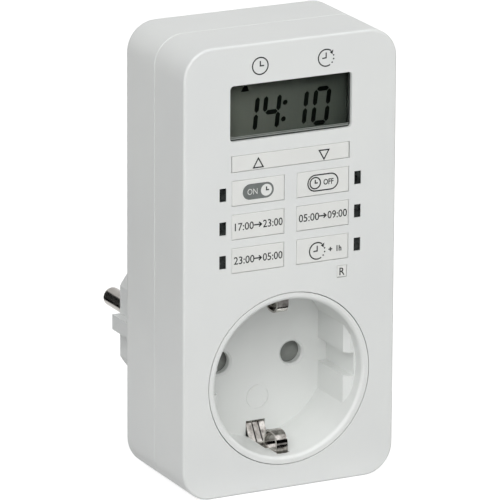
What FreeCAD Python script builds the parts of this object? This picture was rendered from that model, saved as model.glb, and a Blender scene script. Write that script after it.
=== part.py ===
import FreeCAD, Part
import math
import os

Vector = FreeCAD.Vector
os.makedirs("parts", exist_ok=True)

# Plug-in timer: a digital clock and a switched socket in one case with an earthed plug on its back.
# Millimetres. X to the right, Y from the front face to the pins, Z up. Pieces are drawn with the
# front face at Y = 0 and moved by half the overall depth when written, so the origin lies
# under the middle of the whole part, on the surface that it stands on.

# Case
CASE_WIDTH = 55.0
CASE_HEIGHT = 108.85
CASE_DEPTH = 31.75
CORNER_R = 7.3
FRONT_EDGE_R = 0.6
REAR_EDGE_R = 2.0
WALL = 2.2
PARTING_Y = 15.5
SEAM_CHAMFER = 0.15
LIP_LENGTH = 1.5
LIP_THICKNESS = 0.9
LIP_GAP = 0.1

# Plug, which shares its axis with the socket
AXIS_Z = 26.95
PIN_SPACING = 19.0
PIN_R = 2.4
PIN_LENGTH = 19.0
PIN_TIP_R = 1.3
PLUG_R = 18.45
PLUG_LENGTH = 17.7
PLUG_SIDE_CUT = 2.25
PLUG_WALL = 2.0
PLUG_FACE_WALL = 2.6
PLUG_EDGE = 0.6
NOSE_INSET = 0.15
NOSE_HEIGHT = 3.8
SPACER_RIM = 3.55
SPACER_LENGTH = 9.15
SPACER_TAPER = 0.6
SPIGOT_WALL = 1.3

# Socket well, which takes a plug of the same size
WELL_CLEARANCE = 0.7
WELL_DEPTH = 17.5
FLOOR_THICKNESS = 2.0
RIM_WIDTH = 1.7
RIM_GAP = 0.2
RIM_ROUND = 0.9
PAD_GAP = 0.3
PAD_START_Y = 3.4
PAD_CHAMFER = 1.2
GROOVE_GAP = 0.4
GROOVE_SLACK = 1.9
PIN_HOLE_GAP = 0.35
PIN_HOLE_BEVEL = 0.5
MARK_R = 3.0
MARK_X = 0.6
MARK_BELOW_AXIS = 9.6
MARK_LINE = 0.25
MARK_HEIGHT = 0.2
FLANGE_Y = 6.0
FLANGE_THICKNESS = 1.6
FLANGE_EDGE_GAP = 1.2
FLANGE_CORNER_R = 3.6
FLANGE_NOTCH = 1.5
FLANGE_NOTCH_GAP = 0.2

# Earth path: a spring clip above and below the well, a strip above and below the plug
CLIP_WIDTH = 4.8
CLIP_LOOP_WIDTH = 2.9
CLIP_THICKNESS = 0.5
CLIP_BEND_R = 0.7
CLIP_LOOP_SHARE = 0.9
CLIP_SLOT_GAP = 0.1
CLIP_SLOT_START_Y = 2.5
CLIP_NECK_Y = 7.4
CLIP_RAMP_FOOT = 2.4
CLIP_SLIT_X = 0.8
CLIP_SLIT_WIDTH = 0.3
CLIP_SLOT_RISE = 0.8
CLIP_SQUEEZE = 2.4
CLIP_SEAT_GAP = 1.35
CLIP_LOOP_FRONT_Y = 3.4
CLIP_LOOP_LENGTH = 6.7
CLIP_TAIL = 4.5
TROUGH_WALL = 1.1
STRIP_SINK = 1.45
STRIP_THICKNESS = 0.8
STRIP_WIDTH = 5.0
STRIP_GAP = 0.1
BRIDGE_BACK = 4.3
BRIDGE_FOOT = 3.5

# Child-safety shutter behind the well floor
SHUTTER_GAP = 0.3
SHUTTER_THICKNESS = 2.6
SHUTTER_SIDE_COVER = 0.9
SHUTTER_COVER = 0.85
SHUTTER_RAMP = 1.9
SHUTTER_RAMP_FOOT = 1.2
SHUTTER_TRAVEL = 6.4
SHUTTER_BAR = 2.6
SPRING_R = 1.0
SPRING_WIRE_R = 0.16
SPRING_LENGTH = 9.2
SPRING_TURNS = 8
TAB_HALF_X = 1.5

# Contact carrier
CARRIER_EDGE_X = 2.0
CARRIER_EDGE_Z = 3.0
CARRIER_PLATE = 3.0
CHAMBER_SIDE_GAP = 1.3
CHAMBER_FLARE_GAP = 1.1
CHAMBER_WALL = 0.9
CHAMBER_LENGTH = 11.4
CONTACT_WIDTH = 6.0
CONTACT_SHEET = 0.5
CONTACT_SPREAD = 0.1
CONTACT_FLARE = 1.0
CONTACT_FLARE_LENGTH = 2.4
CONTACT_BASE_SPREAD = 0.4
CONTACT_MOUTH_DEPTH = 0.5
CONTACT_BASE_OUT = 0.4

# Pins inside the plug
PIN_ROOT_STEP = 0.2
PIN_HOLE_FIT = 0.03
PIN_HEAD_STEP = 1.2
PIN_HEAD = 1.4
PIN_TAIL_STEP = 0.8
PIN_TAIL_END = 0.6
PIN_CARRIER_THICKNESS = 2.8
PIN_CARRIER_SIDE = 0.1
PIN_CARRIER_TOP = 1.6
SLIP = 0.1

# Bus bars
BAR_THICKNESS = 0.8
BAR_WIDTH = 3.0
BAR_BEND_R = 0.9
BAR_TAIL = 0.5
BAR_FOOT_HALF = 2.6
BAR_OVER_CHAMBER = 1.5
LIVE_BAR_STEP = 2.2
BAR_BOARD_EDGE = 2.0

# Face, measured from the sides and the top of the case, the display and the socket
WINDOW_SIDE = 11.8
WINDOW_ABOVE = 9.57
WINDOW_HEIGHT = 13.3
WINDOW_CORNER_R = 0.9
ROCKER_HEIGHT = 3.78
ROCKER_TO_WINDOW = 3.45
ROWS_TO_ROCKER = 2.18
ROWS = 3
ROW_GAP = 2.16
ROWS_ABOVE_SOCKET = 6.49
KEY_SIDE = 12.4
KEY_INNER_X = 1.67
LIGHT_FROM_KEY = 1.56
LIGHT_WIDTH = 1.62
LIGHT_HEIGHT = 3.08
LIGHT_RECESS = 0.12
RESET_WIDTH = 2.4
RESET_HEIGHT = 2.7
RESET_IN_FROM_KEY = 1.5
RESET_ABOVE_SOCKET = 3.35

# Display
LENS_GAP = 0.08
LENS_RECESS = 0.8
LENS_FLANGE = 1.0
LENS_FLANGE_THICKNESS = 0.9
PANEL_MARGIN = 1.1
PANEL_MARGIN_Z = 0.9
PANEL_THICKNESS = 2.2
PANEL_GAP = 0.2
FRAME_WALL = 1.0
FRAME_LIP = 0.5
CONNECTOR_HEIGHT = 1.8

# Keys
KEY_GAP = 0.1
KEY_EDGE_R = 0.15
KEY_TRAVEL = 0.5
KEY_MARGIN = 0.7
KEY_FLANGE = 0.8
KEY_STEM = 2.2
KEY_STEM_LENGTH = 2.2
KEY_SEAT_GAP = 0.05
ROCKER_END_GAP = 0.26
ROCKER_AXLE_Y = 3.7
ROCKER_AXLE_R = 0.8
ROCKER_AXLE_FIT = 0.05
ROCKER_EAR = 0.9
ROCKER_EAR_HALF_X = 1.7
ROCKER_STEM_INSET = 4.08
ROCKER_BODY_BACK_Y = 4.6

# Keypad mat
MAT_THICKNESS = 1.0
MAT_SIDE = 0.82
MAT_TOP_EDGE = 0.5
DOME_TOP_R = 1.5
DOME_FOOT_R = 2.5
DOME_CLEARANCE = 0.1
DOME_HOLLOW_R = 1.3
PILL_R = 1.0
PILL_THICKNESS = 0.4
RESET_DOME_FOOT_R = 1.55
RESET_DOME_TOP_R = 1.4
RESET_HOLLOW_R = 1.15

# Status lights
LIGHT_GAP = 0.06
GUIDE_MARGIN = 0.5
GUIDE_BAR = 1.1
LED_HEIGHT = 0.8
LED_GAP = 0.3

# Circuit boards
BOARD_THICKNESS = 1.6
BOARD_EDGE_GAP = 0.5
CONTROL_BOARD_Y = 9.0
CONTROL_SIDE_GAP = 0.7
CONTROL_TOP_GAP = 2.0
CONTROL_TROUGH_GAP = 0.6
POWER_SIDE_GAP = 0.8
POWER_BOTTOM_STEP = 0.9
POWER_TOP_GAP = 0.8

# Screws
CASE_SCREW_INSET = 6.8
CASE_SCREW_UP = 6.9
CASE_BOSS_R = 2.8
CASE_PILLAR_R = 4.0
CASE_SCREW_SINK = 8.3
CASE_SCREW_LENGTH = 16.0
CASE_HEAD_R = 2.7
CASE_HEAD = 1.8
INSERT_SCREW_LENGTH = 3.4
SCREW_R = 1.2
SCREW_HEAD = 1.4
SCREW_HEAD_R = 2.0
HEAD_ROUND = 0.35
CROSS_REACH = 0.6
CROSS_HALF = 0.16
THREAD_FIT = 0.05
PASS_HOLE_GAP = 0.35
BOARD_POST_R = 2.2
POST_EDGE = 2.4
CONTROL_POST_UP = 3.2
POWER_POST_UP = 9.7
POWER_POST_DOWN = 10.5
BOARD_SCREW_LENGTH = 4.5
CARRIER_SCREW_SIDE = 2.25
CARRIER_SCREW_Z = 10.4
CARRIER_SCREW_R = 0.9
CARRIER_HEAD_R = 1.7
CARRIER_POST_R = 1.8
BLIND_GAP = 0.5
CARRIER_BLIND_GAP = 0.2

# Parts of the two boards
RELAY_WIDTH = 12.7
RELAY_DEPTH = 11.6
RELAY_HEIGHT = 28.5
RELAY_REAR_GAP = 0.7
FILM_WIDTH = 8.0
FILM_DEPTH = 11.2
FILM_HEIGHT = 18.0
BULK_R = 5.0
BULK_HEIGHT = 12.0
BATTERY_R = 6.1
BATTERY_HEIGHT = 6.4
BATTERY_POST_GAP = 2.1
BATTERY_DOWN = 9.5
PARTS_ABOVE_BARS = 3.2
PART_EDGE_R = 0.6
FUSE_R = 1.7
FUSE_LENGTH = 8.0
FUSE_LEAD = 1.0
FUSE_LEAD_R = 0.34
FUSE_DOWN = 1.2
DIODE_WIDTH = 2.6
DIODE_DEPTH = 1.3
DIODE_HEIGHT = 4.2
DIODE_PITCH = 4.0
DIODE_GAP = 1.0
DIODE_EDGE_R = 0.2
DIODES = 4
HEADER_HALF_X = 10.0
HEADER_ABOVE_BARS = 4.7
HEADER_HALF_Z = 1.25
CHIP_HALF = 6.0
CHIP_HEIGHT = 1.2
CHIP_ABOVE_HEADER = 15.0
CRYSTAL_R = 0.9
CRYSTAL_LENGTH = 6.0
CRYSTAL_GAP = 1.6

# How far a cutter runs past a face, and how near a corner counts as on it
PAST = 1.0
TOUCH = 1e-6

# Plug sizes that follow from the ones above
SPACER_R = PLUG_R + SPACER_RIM
SPACER_HOLLOW_R = SPACER_R - WALL
SPACER_END_Y = CASE_DEPTH + SPACER_LENGTH
PLUG_FACE_Y = SPACER_END_Y + PLUG_LENGTH
TOTAL_DEPTH = PLUG_FACE_Y + PIN_LENGTH
PLUG_INNER_Y = PLUG_FACE_Y - PLUG_FACE_WALL
PLUG_FLAT_X = PLUG_R - PLUG_SIDE_CUT
NOSE_X = PLUG_R - NOSE_INSET
PIN_X = PIN_SPACING / 2
PIN_ROOT_R = PIN_R + PIN_ROOT_STEP
PIN_HEAD_R = PIN_R + PIN_HEAD_STEP
PIN_TAIL_R = PIN_R - PIN_TAIL_STEP
PIN_HEAD_Y = PLUG_INNER_Y - PIN_HEAD
PIN_CARRIER_Y = PIN_HEAD_Y - PIN_CARRIER_THICKNESS
PIN_CARRIER_HALF_X = PIN_X + PIN_HEAD_R + PIN_CARRIER_SIDE
PIN_CARRIER_HALF_Z = PIN_HEAD_R + PIN_CARRIER_TOP
PIN_TAIL_Y = PIN_CARRIER_Y - BAR_THICKNESS - PIN_TAIL_END
STRIP_INNER = PLUG_R - STRIP_SINK - STRIP_THICKNESS

# Socket sizes that follow
WELL_R = PLUG_R + WELL_CLEARANCE
TUBE_R = WELL_R + RIM_WIDTH
SOCKET_OPENING_R = TUBE_R + RIM_GAP
PAD_X = PLUG_FLAT_X + PAD_GAP
GROOVE_X = NOSE_X + GROOVE_GAP
GROOVE_HEIGHT = NOSE_HEIGHT + GROOVE_SLACK
PIN_HOLE_R = PIN_R + PIN_HOLE_GAP
FLOOR_BACK_Y = WELL_DEPTH + FLOOR_THICKNESS
FLANGE_HALF_X = CASE_WIDTH / 2 - WALL - FLANGE_EDGE_GAP
FLANGE_HALF_Z = AXIS_Z - WALL - FLANGE_EDGE_GAP
CLIP_SLOT_TOP = STRIP_INNER - CLIP_SLOT_RISE
CLIP_REACH = STRIP_INNER + STRIP_THICKNESS - CLIP_SQUEEZE
CLIP_SEAT = WELL_R + CLIP_SEAT_GAP
TROUGH_LOW = CLIP_SEAT + CLIP_THICKNESS + CLIP_SLOT_GAP
SHUTTER_BLADE_HALF_X = PIN_HOLE_R + SHUTTER_SIDE_COVER
SHUTTER_Y = FLOOR_BACK_Y + SHUTTER_GAP
SHUTTER_BACK_Y = SHUTTER_Y + SHUTTER_THICKNESS
SHUTTER_HALF_Z = PIN_HOLE_R + SHUTTER_COVER
CARRIER_Y = SHUTTER_BACK_Y + SHUTTER_GAP
CARRIER_BACK_Y = CARRIER_Y + CARRIER_PLATE
CARRIER_SCREW_X = PIN_X + SHUTTER_BLADE_HALF_X + CARRIER_SCREW_SIDE
CARRIER_HALF_X = CARRIER_SCREW_X + CARRIER_EDGE_X
CARRIER_HALF_Z = CARRIER_SCREW_Z + CARRIER_EDGE_Z
CARRIER_SCREW_TIP_Y = WELL_DEPTH + FLOOR_THICKNESS / 2 + CARRIER_BLIND_GAP
CONTACT_PINCH = PIN_R + CONTACT_SPREAD
CONTACT_MOUTH = CONTACT_PINCH + CONTACT_FLARE
CHAMBER_HALF_X = CONTACT_WIDTH / 2 + CHAMBER_SIDE_GAP
CHAMBER_HALF_Z = CONTACT_MOUTH + CHAMBER_FLARE_GAP
CHAMBER_END_Y = CARRIER_BACK_Y + CHAMBER_LENGTH
CONTACT_MOUTH_Y = CARRIER_BACK_Y + CONTACT_MOUTH_DEPTH
CONTACT_BASE_Y = CHAMBER_END_Y + CONTACT_BASE_OUT
CONTACT_BACK_Y = CONTACT_BASE_Y + CONTACT_SHEET / 2
BRIDGE_Y = CARRIER_BACK_Y + BRIDGE_BACK

# Face sizes that follow
WINDOW_HALF_X = CASE_WIDTH / 2 - WINDOW_SIDE
WINDOW_TOP_Z = CASE_HEIGHT - WINDOW_ABOVE
WINDOW_BOTTOM_Z = WINDOW_TOP_Z - WINDOW_HEIGHT
ROCKER_TOP_Z = WINDOW_BOTTOM_Z - ROCKER_TO_WINDOW
ROCKER_BOTTOM_Z = ROCKER_TOP_Z - ROCKER_HEIGHT
ROCKER_Z = (ROCKER_BOTTOM_Z + ROCKER_TOP_Z) / 2
ROWS_TOP_Z = ROCKER_BOTTOM_Z - ROWS_TO_ROCKER
ROWS_BOTTOM_Z = AXIS_Z + SOCKET_OPENING_R + ROWS_ABOVE_SOCKET
ROW_PITCH = (ROWS_TOP_Z + ROW_GAP - ROWS_BOTTOM_Z) / ROWS
KEY_HEIGHT = ROW_PITCH - ROW_GAP
KEY_ROWS = [ROWS_BOTTOM_Z + row * ROW_PITCH for row in reversed(range(ROWS))]
KEY_OUTER_X = CASE_WIDTH / 2 - KEY_SIDE
LIGHT_INNER_X = KEY_OUTER_X + LIGHT_FROM_KEY
LIGHT_OUTER_X = LIGHT_INNER_X + LIGHT_WIDTH
LIGHT_LOWS = [bottom + (KEY_HEIGHT - LIGHT_HEIGHT) / 2 for bottom in KEY_ROWS]
RESET_CENTRE_X = KEY_OUTER_X - RESET_IN_FROM_KEY
RESET_CENTRE_Z = AXIS_Z + SOCKET_OPENING_R + RESET_ABOVE_SOCKET
ROCKER_STEM_X = KEY_OUTER_X - ROCKER_STEM_INSET
KEY_FLANGE_Y = WALL + KEY_SEAT_GAP
KEY_STEM_END_Y = KEY_FLANGE_Y + KEY_FLANGE + KEY_STEM_LENGTH
DOME_TOP_Y = KEY_STEM_END_Y + KEY_TRAVEL + DOME_CLEARANCE
MAT_FRONT_Y = CONTROL_BOARD_Y - MAT_THICKNESS
MAT_HALF_X = KEY_OUTER_X + MAT_SIDE
DOMES = [(side * (KEY_OUTER_X + KEY_INNER_X) / 2, bottom + KEY_HEIGHT / 2)
         for bottom in KEY_ROWS for side in (-1, 1)]
DOMES += [(side * ROCKER_STEM_X, ROCKER_Z) for side in (-1, 1)]

# Screw places
CASE_SCREW_X = CASE_WIDTH / 2 - CASE_SCREW_INSET
CASE_SCREW_HIGH_Z = CASE_HEIGHT - CASE_SCREW_UP
CASE_SCREW_SEAT_Y = CASE_DEPTH - CASE_SCREW_SINK
INSERT_SCREW_Z = 2 * AXIS_Z - CASE_SCREW_UP
CASE_SCREWS = [(side * CASE_SCREW_X, z) for side in (-1, 1)
               for z in (CASE_SCREW_UP, CASE_SCREW_HIGH_Z)]
INSERT_SCREWS = [(side * CASE_SCREW_X, INSERT_SCREW_Z) for side in (-1, 1)]
CARRIER_SCREWS = [(side * CARRIER_SCREW_X, AXIS_Z + up * CARRIER_SCREW_Z)
                  for side in (-1, 1) for up in (-1, 1)]

# Board sizes that follow
CONTROL_HALF_X = CASE_WIDTH / 2 - WALL - CONTROL_SIDE_GAP
CONTROL_BOTTOM_Z = AXIS_Z + TROUGH_LOW + TROUGH_WALL + CONTROL_TROUGH_GAP
CONTROL_TOP_Z = CASE_HEIGHT - WALL - CONTROL_TOP_GAP
CONTROL_BACK_Y = CONTROL_BOARD_Y + BOARD_THICKNESS
CONTROL_POST_X = CONTROL_HALF_X - POST_EDGE
CONTROL_POSTS = [(side * CONTROL_POST_X, z) for side in (-1, 1)
                 for z in (CONTROL_BOTTOM_Z + CONTROL_POST_UP, ROCKER_Z)]
POWER_HALF_X = CASE_WIDTH / 2 - WALL - POWER_SIDE_GAP
POWER_BOTTOM_Z = CONTROL_BOTTOM_Z + POWER_BOTTOM_STEP
POWER_TOP_Z = CASE_SCREW_HIGH_Z - CASE_PILLAR_R - POWER_TOP_GAP
POWER_BACK_Y = CASE_DEPTH - WALL - RELAY_REAR_GAP - RELAY_DEPTH
POWER_BOARD_Y = POWER_BACK_Y - BOARD_THICKNESS
POWER_POST_X = POWER_HALF_X - POST_EDGE
POWER_POSTS = [(side * POWER_POST_X, z) for side in (-1, 1)
               for z in (POWER_BOTTOM_Z + POWER_POST_UP, POWER_TOP_Z - POWER_POST_DOWN)]

# Bus bars: their runs, their rise between the carrier and the rear wall, their slots in the board
CONTACT_BAR_ABOVE = CHAMBER_HALF_Z + CHAMBER_WALL + BAR_OVER_CHAMBER
LIVE_BAR_ABOVE = CONTACT_BAR_ABOVE + LIVE_BAR_STEP
BAR_RISE_Y = (CARRIER_BACK_Y + CASE_DEPTH - WALL) / 2
BAR_BOARD_Z = POWER_BOTTOM_Z + BAR_BOARD_EDGE
LIVE_BAR_X = -PIN_X - CONTACT_WIDTH / 2
SWITCHED_BAR_X = LIVE_BAR_X + CONTACT_WIDTH - BAR_WIDTH / 2
NEUTRAL_BAR_X = PIN_X - CONTACT_WIDTH / 2

# Power board parts: the three large ones spread evenly between the posts
POST_SPACE = POWER_POST_X - BOARD_POST_R
PART_GAP = (2 * POST_SPACE - RELAY_WIDTH - FILM_WIDTH - 2 * BULK_R) / 4
PARTS_BOTTOM_Z = BAR_BOARD_Z + PARTS_ABOVE_BARS
RELAY_X = -POST_SPACE + PART_GAP
FILM_X = RELAY_X + RELAY_WIDTH + PART_GAP
BULK_X = FILM_X + FILM_WIDTH + PART_GAP + BULK_R
BATTERY_X = POST_SPACE - BATTERY_POST_GAP - BATTERY_R
BATTERY_Z = POWER_TOP_Z - BATTERY_DOWN
FUSE_Z = POWER_TOP_Z - FUSE_DOWN - FUSE_LEAD - FUSE_LENGTH
HEADER_Z = BAR_BOARD_Z + HEADER_ABOVE_BARS
CHIP_Z = HEADER_Z + CHIP_ABOVE_HEADER
CRYSTAL_Z = POWER_TOP_Z + CRYSTAL_R + CRYSTAL_GAP
DIODE_Z = HEADER_Z + HEADER_HALF_Z + DIODE_GAP
DIODE_X = -((DIODES - 1) * DIODE_PITCH + DIODE_WIDTH) / 2


def block(x0, x1, y0, y1, z0, z1):
    """Box between two corners."""
    return Part.makeBox(x1 - x0, y1 - y0, z1 - z0, Vector(x0, y0, z0))


def disc(x, z, r, y0, y1):
    """Cylinder along Y."""
    return Part.makeCylinder(r, y1 - y0, Vector(x, y0, z), Vector(0, 1, 0))


def taper(x, z, r0, r1, y0, y1):
    """Cone along Y, r0 at the front end and r1 at the back end."""
    return Part.makeCone(r0, r1, y1 - y0, Vector(x, y0, z), Vector(0, 1, 0))


def rounded_block(x0, x1, y0, y1, z0, z1, r):
    """Rounded rectangle in XZ, drawn along Y."""
    corners = ((x1, z0), (x1, z1), (x0, z1), (x0, z0))
    inward = ((-1, 1), (-1, -1), (1, -1), (1, 1))
    start = (((-1, 0), (0, 1)), ((0, -1), (-1, 0)), ((1, 0), (0, -1)), ((0, 1), (1, 0)))
    diagonal = 1 - math.sqrt(0.5)
    edges = []
    last = None
    first = None
    for (x, z), (ix, iz), (a, b) in zip(corners, inward, start):
        p = Vector(x + a[0] * r, y0, z + a[1] * r)
        q = Vector(x + b[0] * r, y0, z + b[1] * r)
        middle = Vector(x + ix * r * diagonal, y0, z + iz * r * diagonal)
        if last is None:
            first = p
        else:
            edges.append(Part.LineSegment(last, p).toShape())
        edges.append(Part.Arc(p, middle, q).toShape())
        last = q
    edges.append(Part.LineSegment(last, first).toShape())
    return Part.Face(Part.Wire(edges)).extrude(Vector(0, y1 - y0, 0))


def extruded_polygon(points, x0, x1):
    """Closed outline of (y, z) points drawn along X."""
    corners = [Vector(x0, y, z) for y, z in points]
    face = Part.Face(Part.makePolygon(corners + corners[:1]))
    return face.extrude(Vector(x1 - x0, 0, 0))


def bent_strip(path, bend_r, thickness, x0, x1):
    """Sheet strip along (y, z) points, with each corner bent to one centre-line radius."""
    points = [Vector(0, y, z) for y, z in path]
    dirs = [(b - a).normalize() for a, b in zip(points, points[1:])]
    normals = [Vector(0, -d.z, d.y) for d in dirs]

    def side_edges(shift):
        edges = []
        last = points[0] + normals[0] * shift
        for i in range(1, len(points) - 1):
            d0, d1, n0, n1 = dirs[i - 1], dirs[i], normals[i - 1], normals[i]
            turn = math.atan2(d0.y * d1.z - d0.z * d1.y, d0.dot(d1))
            way = 1 if turn > 0 else -1
            back = bend_r * math.tan(abs(turn) / 2)
            a = points[i] - d0 * back
            b = points[i] + d1 * back
            centre = a + n0 * (bend_r * way)
            r = bend_r - way * shift
            outward = (points[i] - centre).normalize()
            a_side = a + n0 * shift
            edges.append(Part.LineSegment(last, a_side).toShape())
            edges.append(Part.Arc(a_side, centre + outward * r, b + n1 * shift).toShape())
            last = b + n1 * shift
        end = points[-1] + normals[-1] * shift
        edges.append(Part.LineSegment(last, end).toShape())
        return edges, end

    left, left_end = side_edges(thickness / 2)
    right, right_end = side_edges(-thickness / 2)
    caps = [Part.LineSegment(left_end, right_end).toShape(),
            Part.LineSegment(points[0] + normals[0] * (thickness / 2),
                             points[0] - normals[0] * (thickness / 2)).toShape()]
    wire = Part.Wire(Part.__sortEdges__(left + right + caps))
    strip = Part.Face(wire).extrude(Vector(x1 - x0, 0, 0))
    strip.translate(Vector(x0, 0, 0))
    return strip


def fuse(shapes):
    """One solid from touching shapes."""
    return shapes[0].multiFuse(shapes[1:]).removeSplitter() if len(shapes) > 1 else shapes[0]


def cut(shape, tools):
    """Shape less every tool."""
    for tool in tools:
        shape = shape.cut(tool)
    return shape


def screw(x, z, seat_y, length, r, head_r, head, forward=True):
    """Cross-head screw: seat_y is under the head, and the shank runs to the front if forward."""
    way = -1 if forward else 1
    y_end = seat_y + way * length
    y_top = seat_y - way * head
    shank = disc(x, z, r, min(seat_y, y_end), max(seat_y, y_end))
    pan = disc(x, z, head_r, min(seat_y, y_top), max(seat_y, y_top))
    rim = [e for e in pan.Edges if abs(e.CenterOfMass.y - y_top) < TOUCH]
    pan = pan.makeFillet(head * HEAD_ROUND, rim)
    low, high = min(y_top, y_top + way * head / 2), max(y_top, y_top + way * head / 2)
    arm = head_r * CROSS_REACH
    slot = head_r * CROSS_HALF
    cross = [block(x - arm, x + arm, low, high, z - slot, z + slot),
             block(x - slot, x + slot, low, high, z - arm, z + arm)]
    return cut(pan.fuse(shank).removeSplitter(), cross)


def mirror_z(shape):
    """Copy turned over the socket axis, top to bottom."""
    return shape.mirror(Vector(0, 0, AXIS_Z), Vector(0, 0, 1))


def mirror_x(shape):
    """Copy on the other side of the middle."""
    return shape.mirror(Vector(0, 0, 0), Vector(1, 0, 0))


def write(node, shapes):
    """Write one node, placed so that the origin is under the middle of the part."""
    solids = [solid for shape in shapes for solid in shape.Solids]
    shape = solids[0] if len(solids) == 1 else Part.makeCompound(solids)
    shape = shape.copy()
    shape.translate(Vector(0, -TOTAL_DEPTH / 2, 0))
    shape.exportStep("parts/" + node + ".step")
    print(node, len(solids), "solids", round(shape.Volume, 1), "mm3", shape.isValid())


def case_block(inset, y0, y1):
    """Case outline, drawn in by inset, between two depths."""
    half = CASE_WIDTH / 2 - inset
    return rounded_block(-half, half, y0, y1, inset, CASE_HEIGHT - inset, CORNER_R - inset)


def front_cover():
    """Front shell with its openings, lip, bosses, posts and rocker ears."""
    shell = case_block(0, 0, PARTING_Y)
    front = [e for e in shell.Edges if abs(e.BoundBox.YMax) < TOUCH]
    shell = shell.makeFillet(FRONT_EDGE_R, front)
    seam = [e for e in shell.Edges if abs(e.BoundBox.YMin - PARTING_Y) < TOUCH]
    shell = shell.makeChamfer(SEAM_CHAMFER, seam)
    shell = shell.cut(case_block(WALL, WALL, PARTING_Y + PAST))
    lip_out = WALL - LIP_THICKNESS
    lip = case_block(lip_out, PARTING_Y - WALL, PARTING_Y + LIP_LENGTH)
    lip = lip.cut(case_block(WALL, PARTING_Y - WALL - PAST, PARTING_Y + LIP_LENGTH + PAST))
    adds = [lip]
    cuts = []
    for x, z in CASE_SCREWS:
        adds.append(disc(x, z, CASE_BOSS_R, WALL / 2, PARTING_Y))
        cuts.append(disc(x, z, SCREW_R + THREAD_FIT, CASE_SCREW_SEAT_Y - CASE_SCREW_LENGTH - PAST,
                         PARTING_Y + PAST))
    for x, z in INSERT_SCREWS:
        adds.append(disc(x, z, CASE_BOSS_R, WALL / 2, FLANGE_Y))
        cuts.append(disc(x, z, SCREW_R + THREAD_FIT,
                         FLANGE_Y + FLANGE_THICKNESS - INSERT_SCREW_LENGTH - BLIND_GAP, FLANGE_Y + PAST))
    for x, z in CONTROL_POSTS:
        adds.append(disc(x, z, BOARD_POST_R, WALL / 2, CONTROL_BOARD_Y))
        cuts.append(disc(x, z, SCREW_R + THREAD_FIT,
                         CONTROL_BACK_Y - BOARD_SCREW_LENGTH - BLIND_GAP, CONTROL_BOARD_Y + PAST))
    ear_back = ROCKER_AXLE_Y + ROCKER_AXLE_R + ROCKER_EAR
    for z0 in (ROCKER_BOTTOM_Z - KEY_GAP - ROCKER_EAR, ROCKER_TOP_Z + KEY_GAP):
        adds.append(block(-ROCKER_EAR_HALF_X, ROCKER_EAR_HALF_X, WALL / 2, ear_back,
                          z0, z0 + ROCKER_EAR))
    cuts.append(Part.makeCylinder(ROCKER_AXLE_R + ROCKER_AXLE_FIT, ROCKER_HEIGHT + 4 * ROCKER_EAR,
                                  Vector(0, ROCKER_AXLE_Y, ROCKER_BOTTOM_Z - 2 * ROCKER_EAR),
                                  Vector(0, 0, 1)))
    cuts.append(disc(0, AXIS_Z, SOCKET_OPENING_R, -PAST, WALL + PAST))
    cuts.append(rounded_block(-WINDOW_HALF_X, WINDOW_HALF_X, -PAST, WALL + PAST,
                              WINDOW_BOTTOM_Z, WINDOW_TOP_Z, WINDOW_CORNER_R))
    for bottom, low in zip(KEY_ROWS, LIGHT_LOWS):
        for x0, x1 in ((-KEY_OUTER_X, -KEY_INNER_X), (KEY_INNER_X, KEY_OUTER_X)):
            cuts.append(block(x0 - KEY_GAP, x1 + KEY_GAP, -PAST, WALL + PAST,
                              bottom - KEY_GAP, bottom + KEY_HEIGHT + KEY_GAP))
        for x0, x1 in ((-LIGHT_OUTER_X, -LIGHT_INNER_X), (LIGHT_INNER_X, LIGHT_OUTER_X)):
            cuts.append(block(x0 - LIGHT_GAP, x1 + LIGHT_GAP, -PAST, WALL + PAST,
                              low - LIGHT_GAP, low + LIGHT_HEIGHT + LIGHT_GAP))
    cuts.append(block(-KEY_OUTER_X - ROCKER_END_GAP, KEY_OUTER_X + ROCKER_END_GAP, -PAST, WALL + PAST,
                      ROCKER_BOTTOM_Z - KEY_GAP, ROCKER_TOP_Z + KEY_GAP))
    cuts.append(block(RESET_CENTRE_X - RESET_WIDTH / 2 - KEY_GAP,
                      RESET_CENTRE_X + RESET_WIDTH / 2 + KEY_GAP, -PAST, WALL + PAST,
                      RESET_CENTRE_Z - RESET_HEIGHT / 2 - KEY_GAP,
                      RESET_CENTRE_Z + RESET_HEIGHT / 2 + KEY_GAP))
    return cut(fuse([shell] + adds), cuts)


def plug_outline(r, flat_x, y0, y1):
    """Round plug body with a flat on each side."""
    body = disc(0, AXIS_Z, r, y0, y1)
    return body.common(block(-flat_x, flat_x, y0 - PAST, y1 + PAST, AXIS_Z - r - PAST, AXIS_Z + r + PAST))


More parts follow.
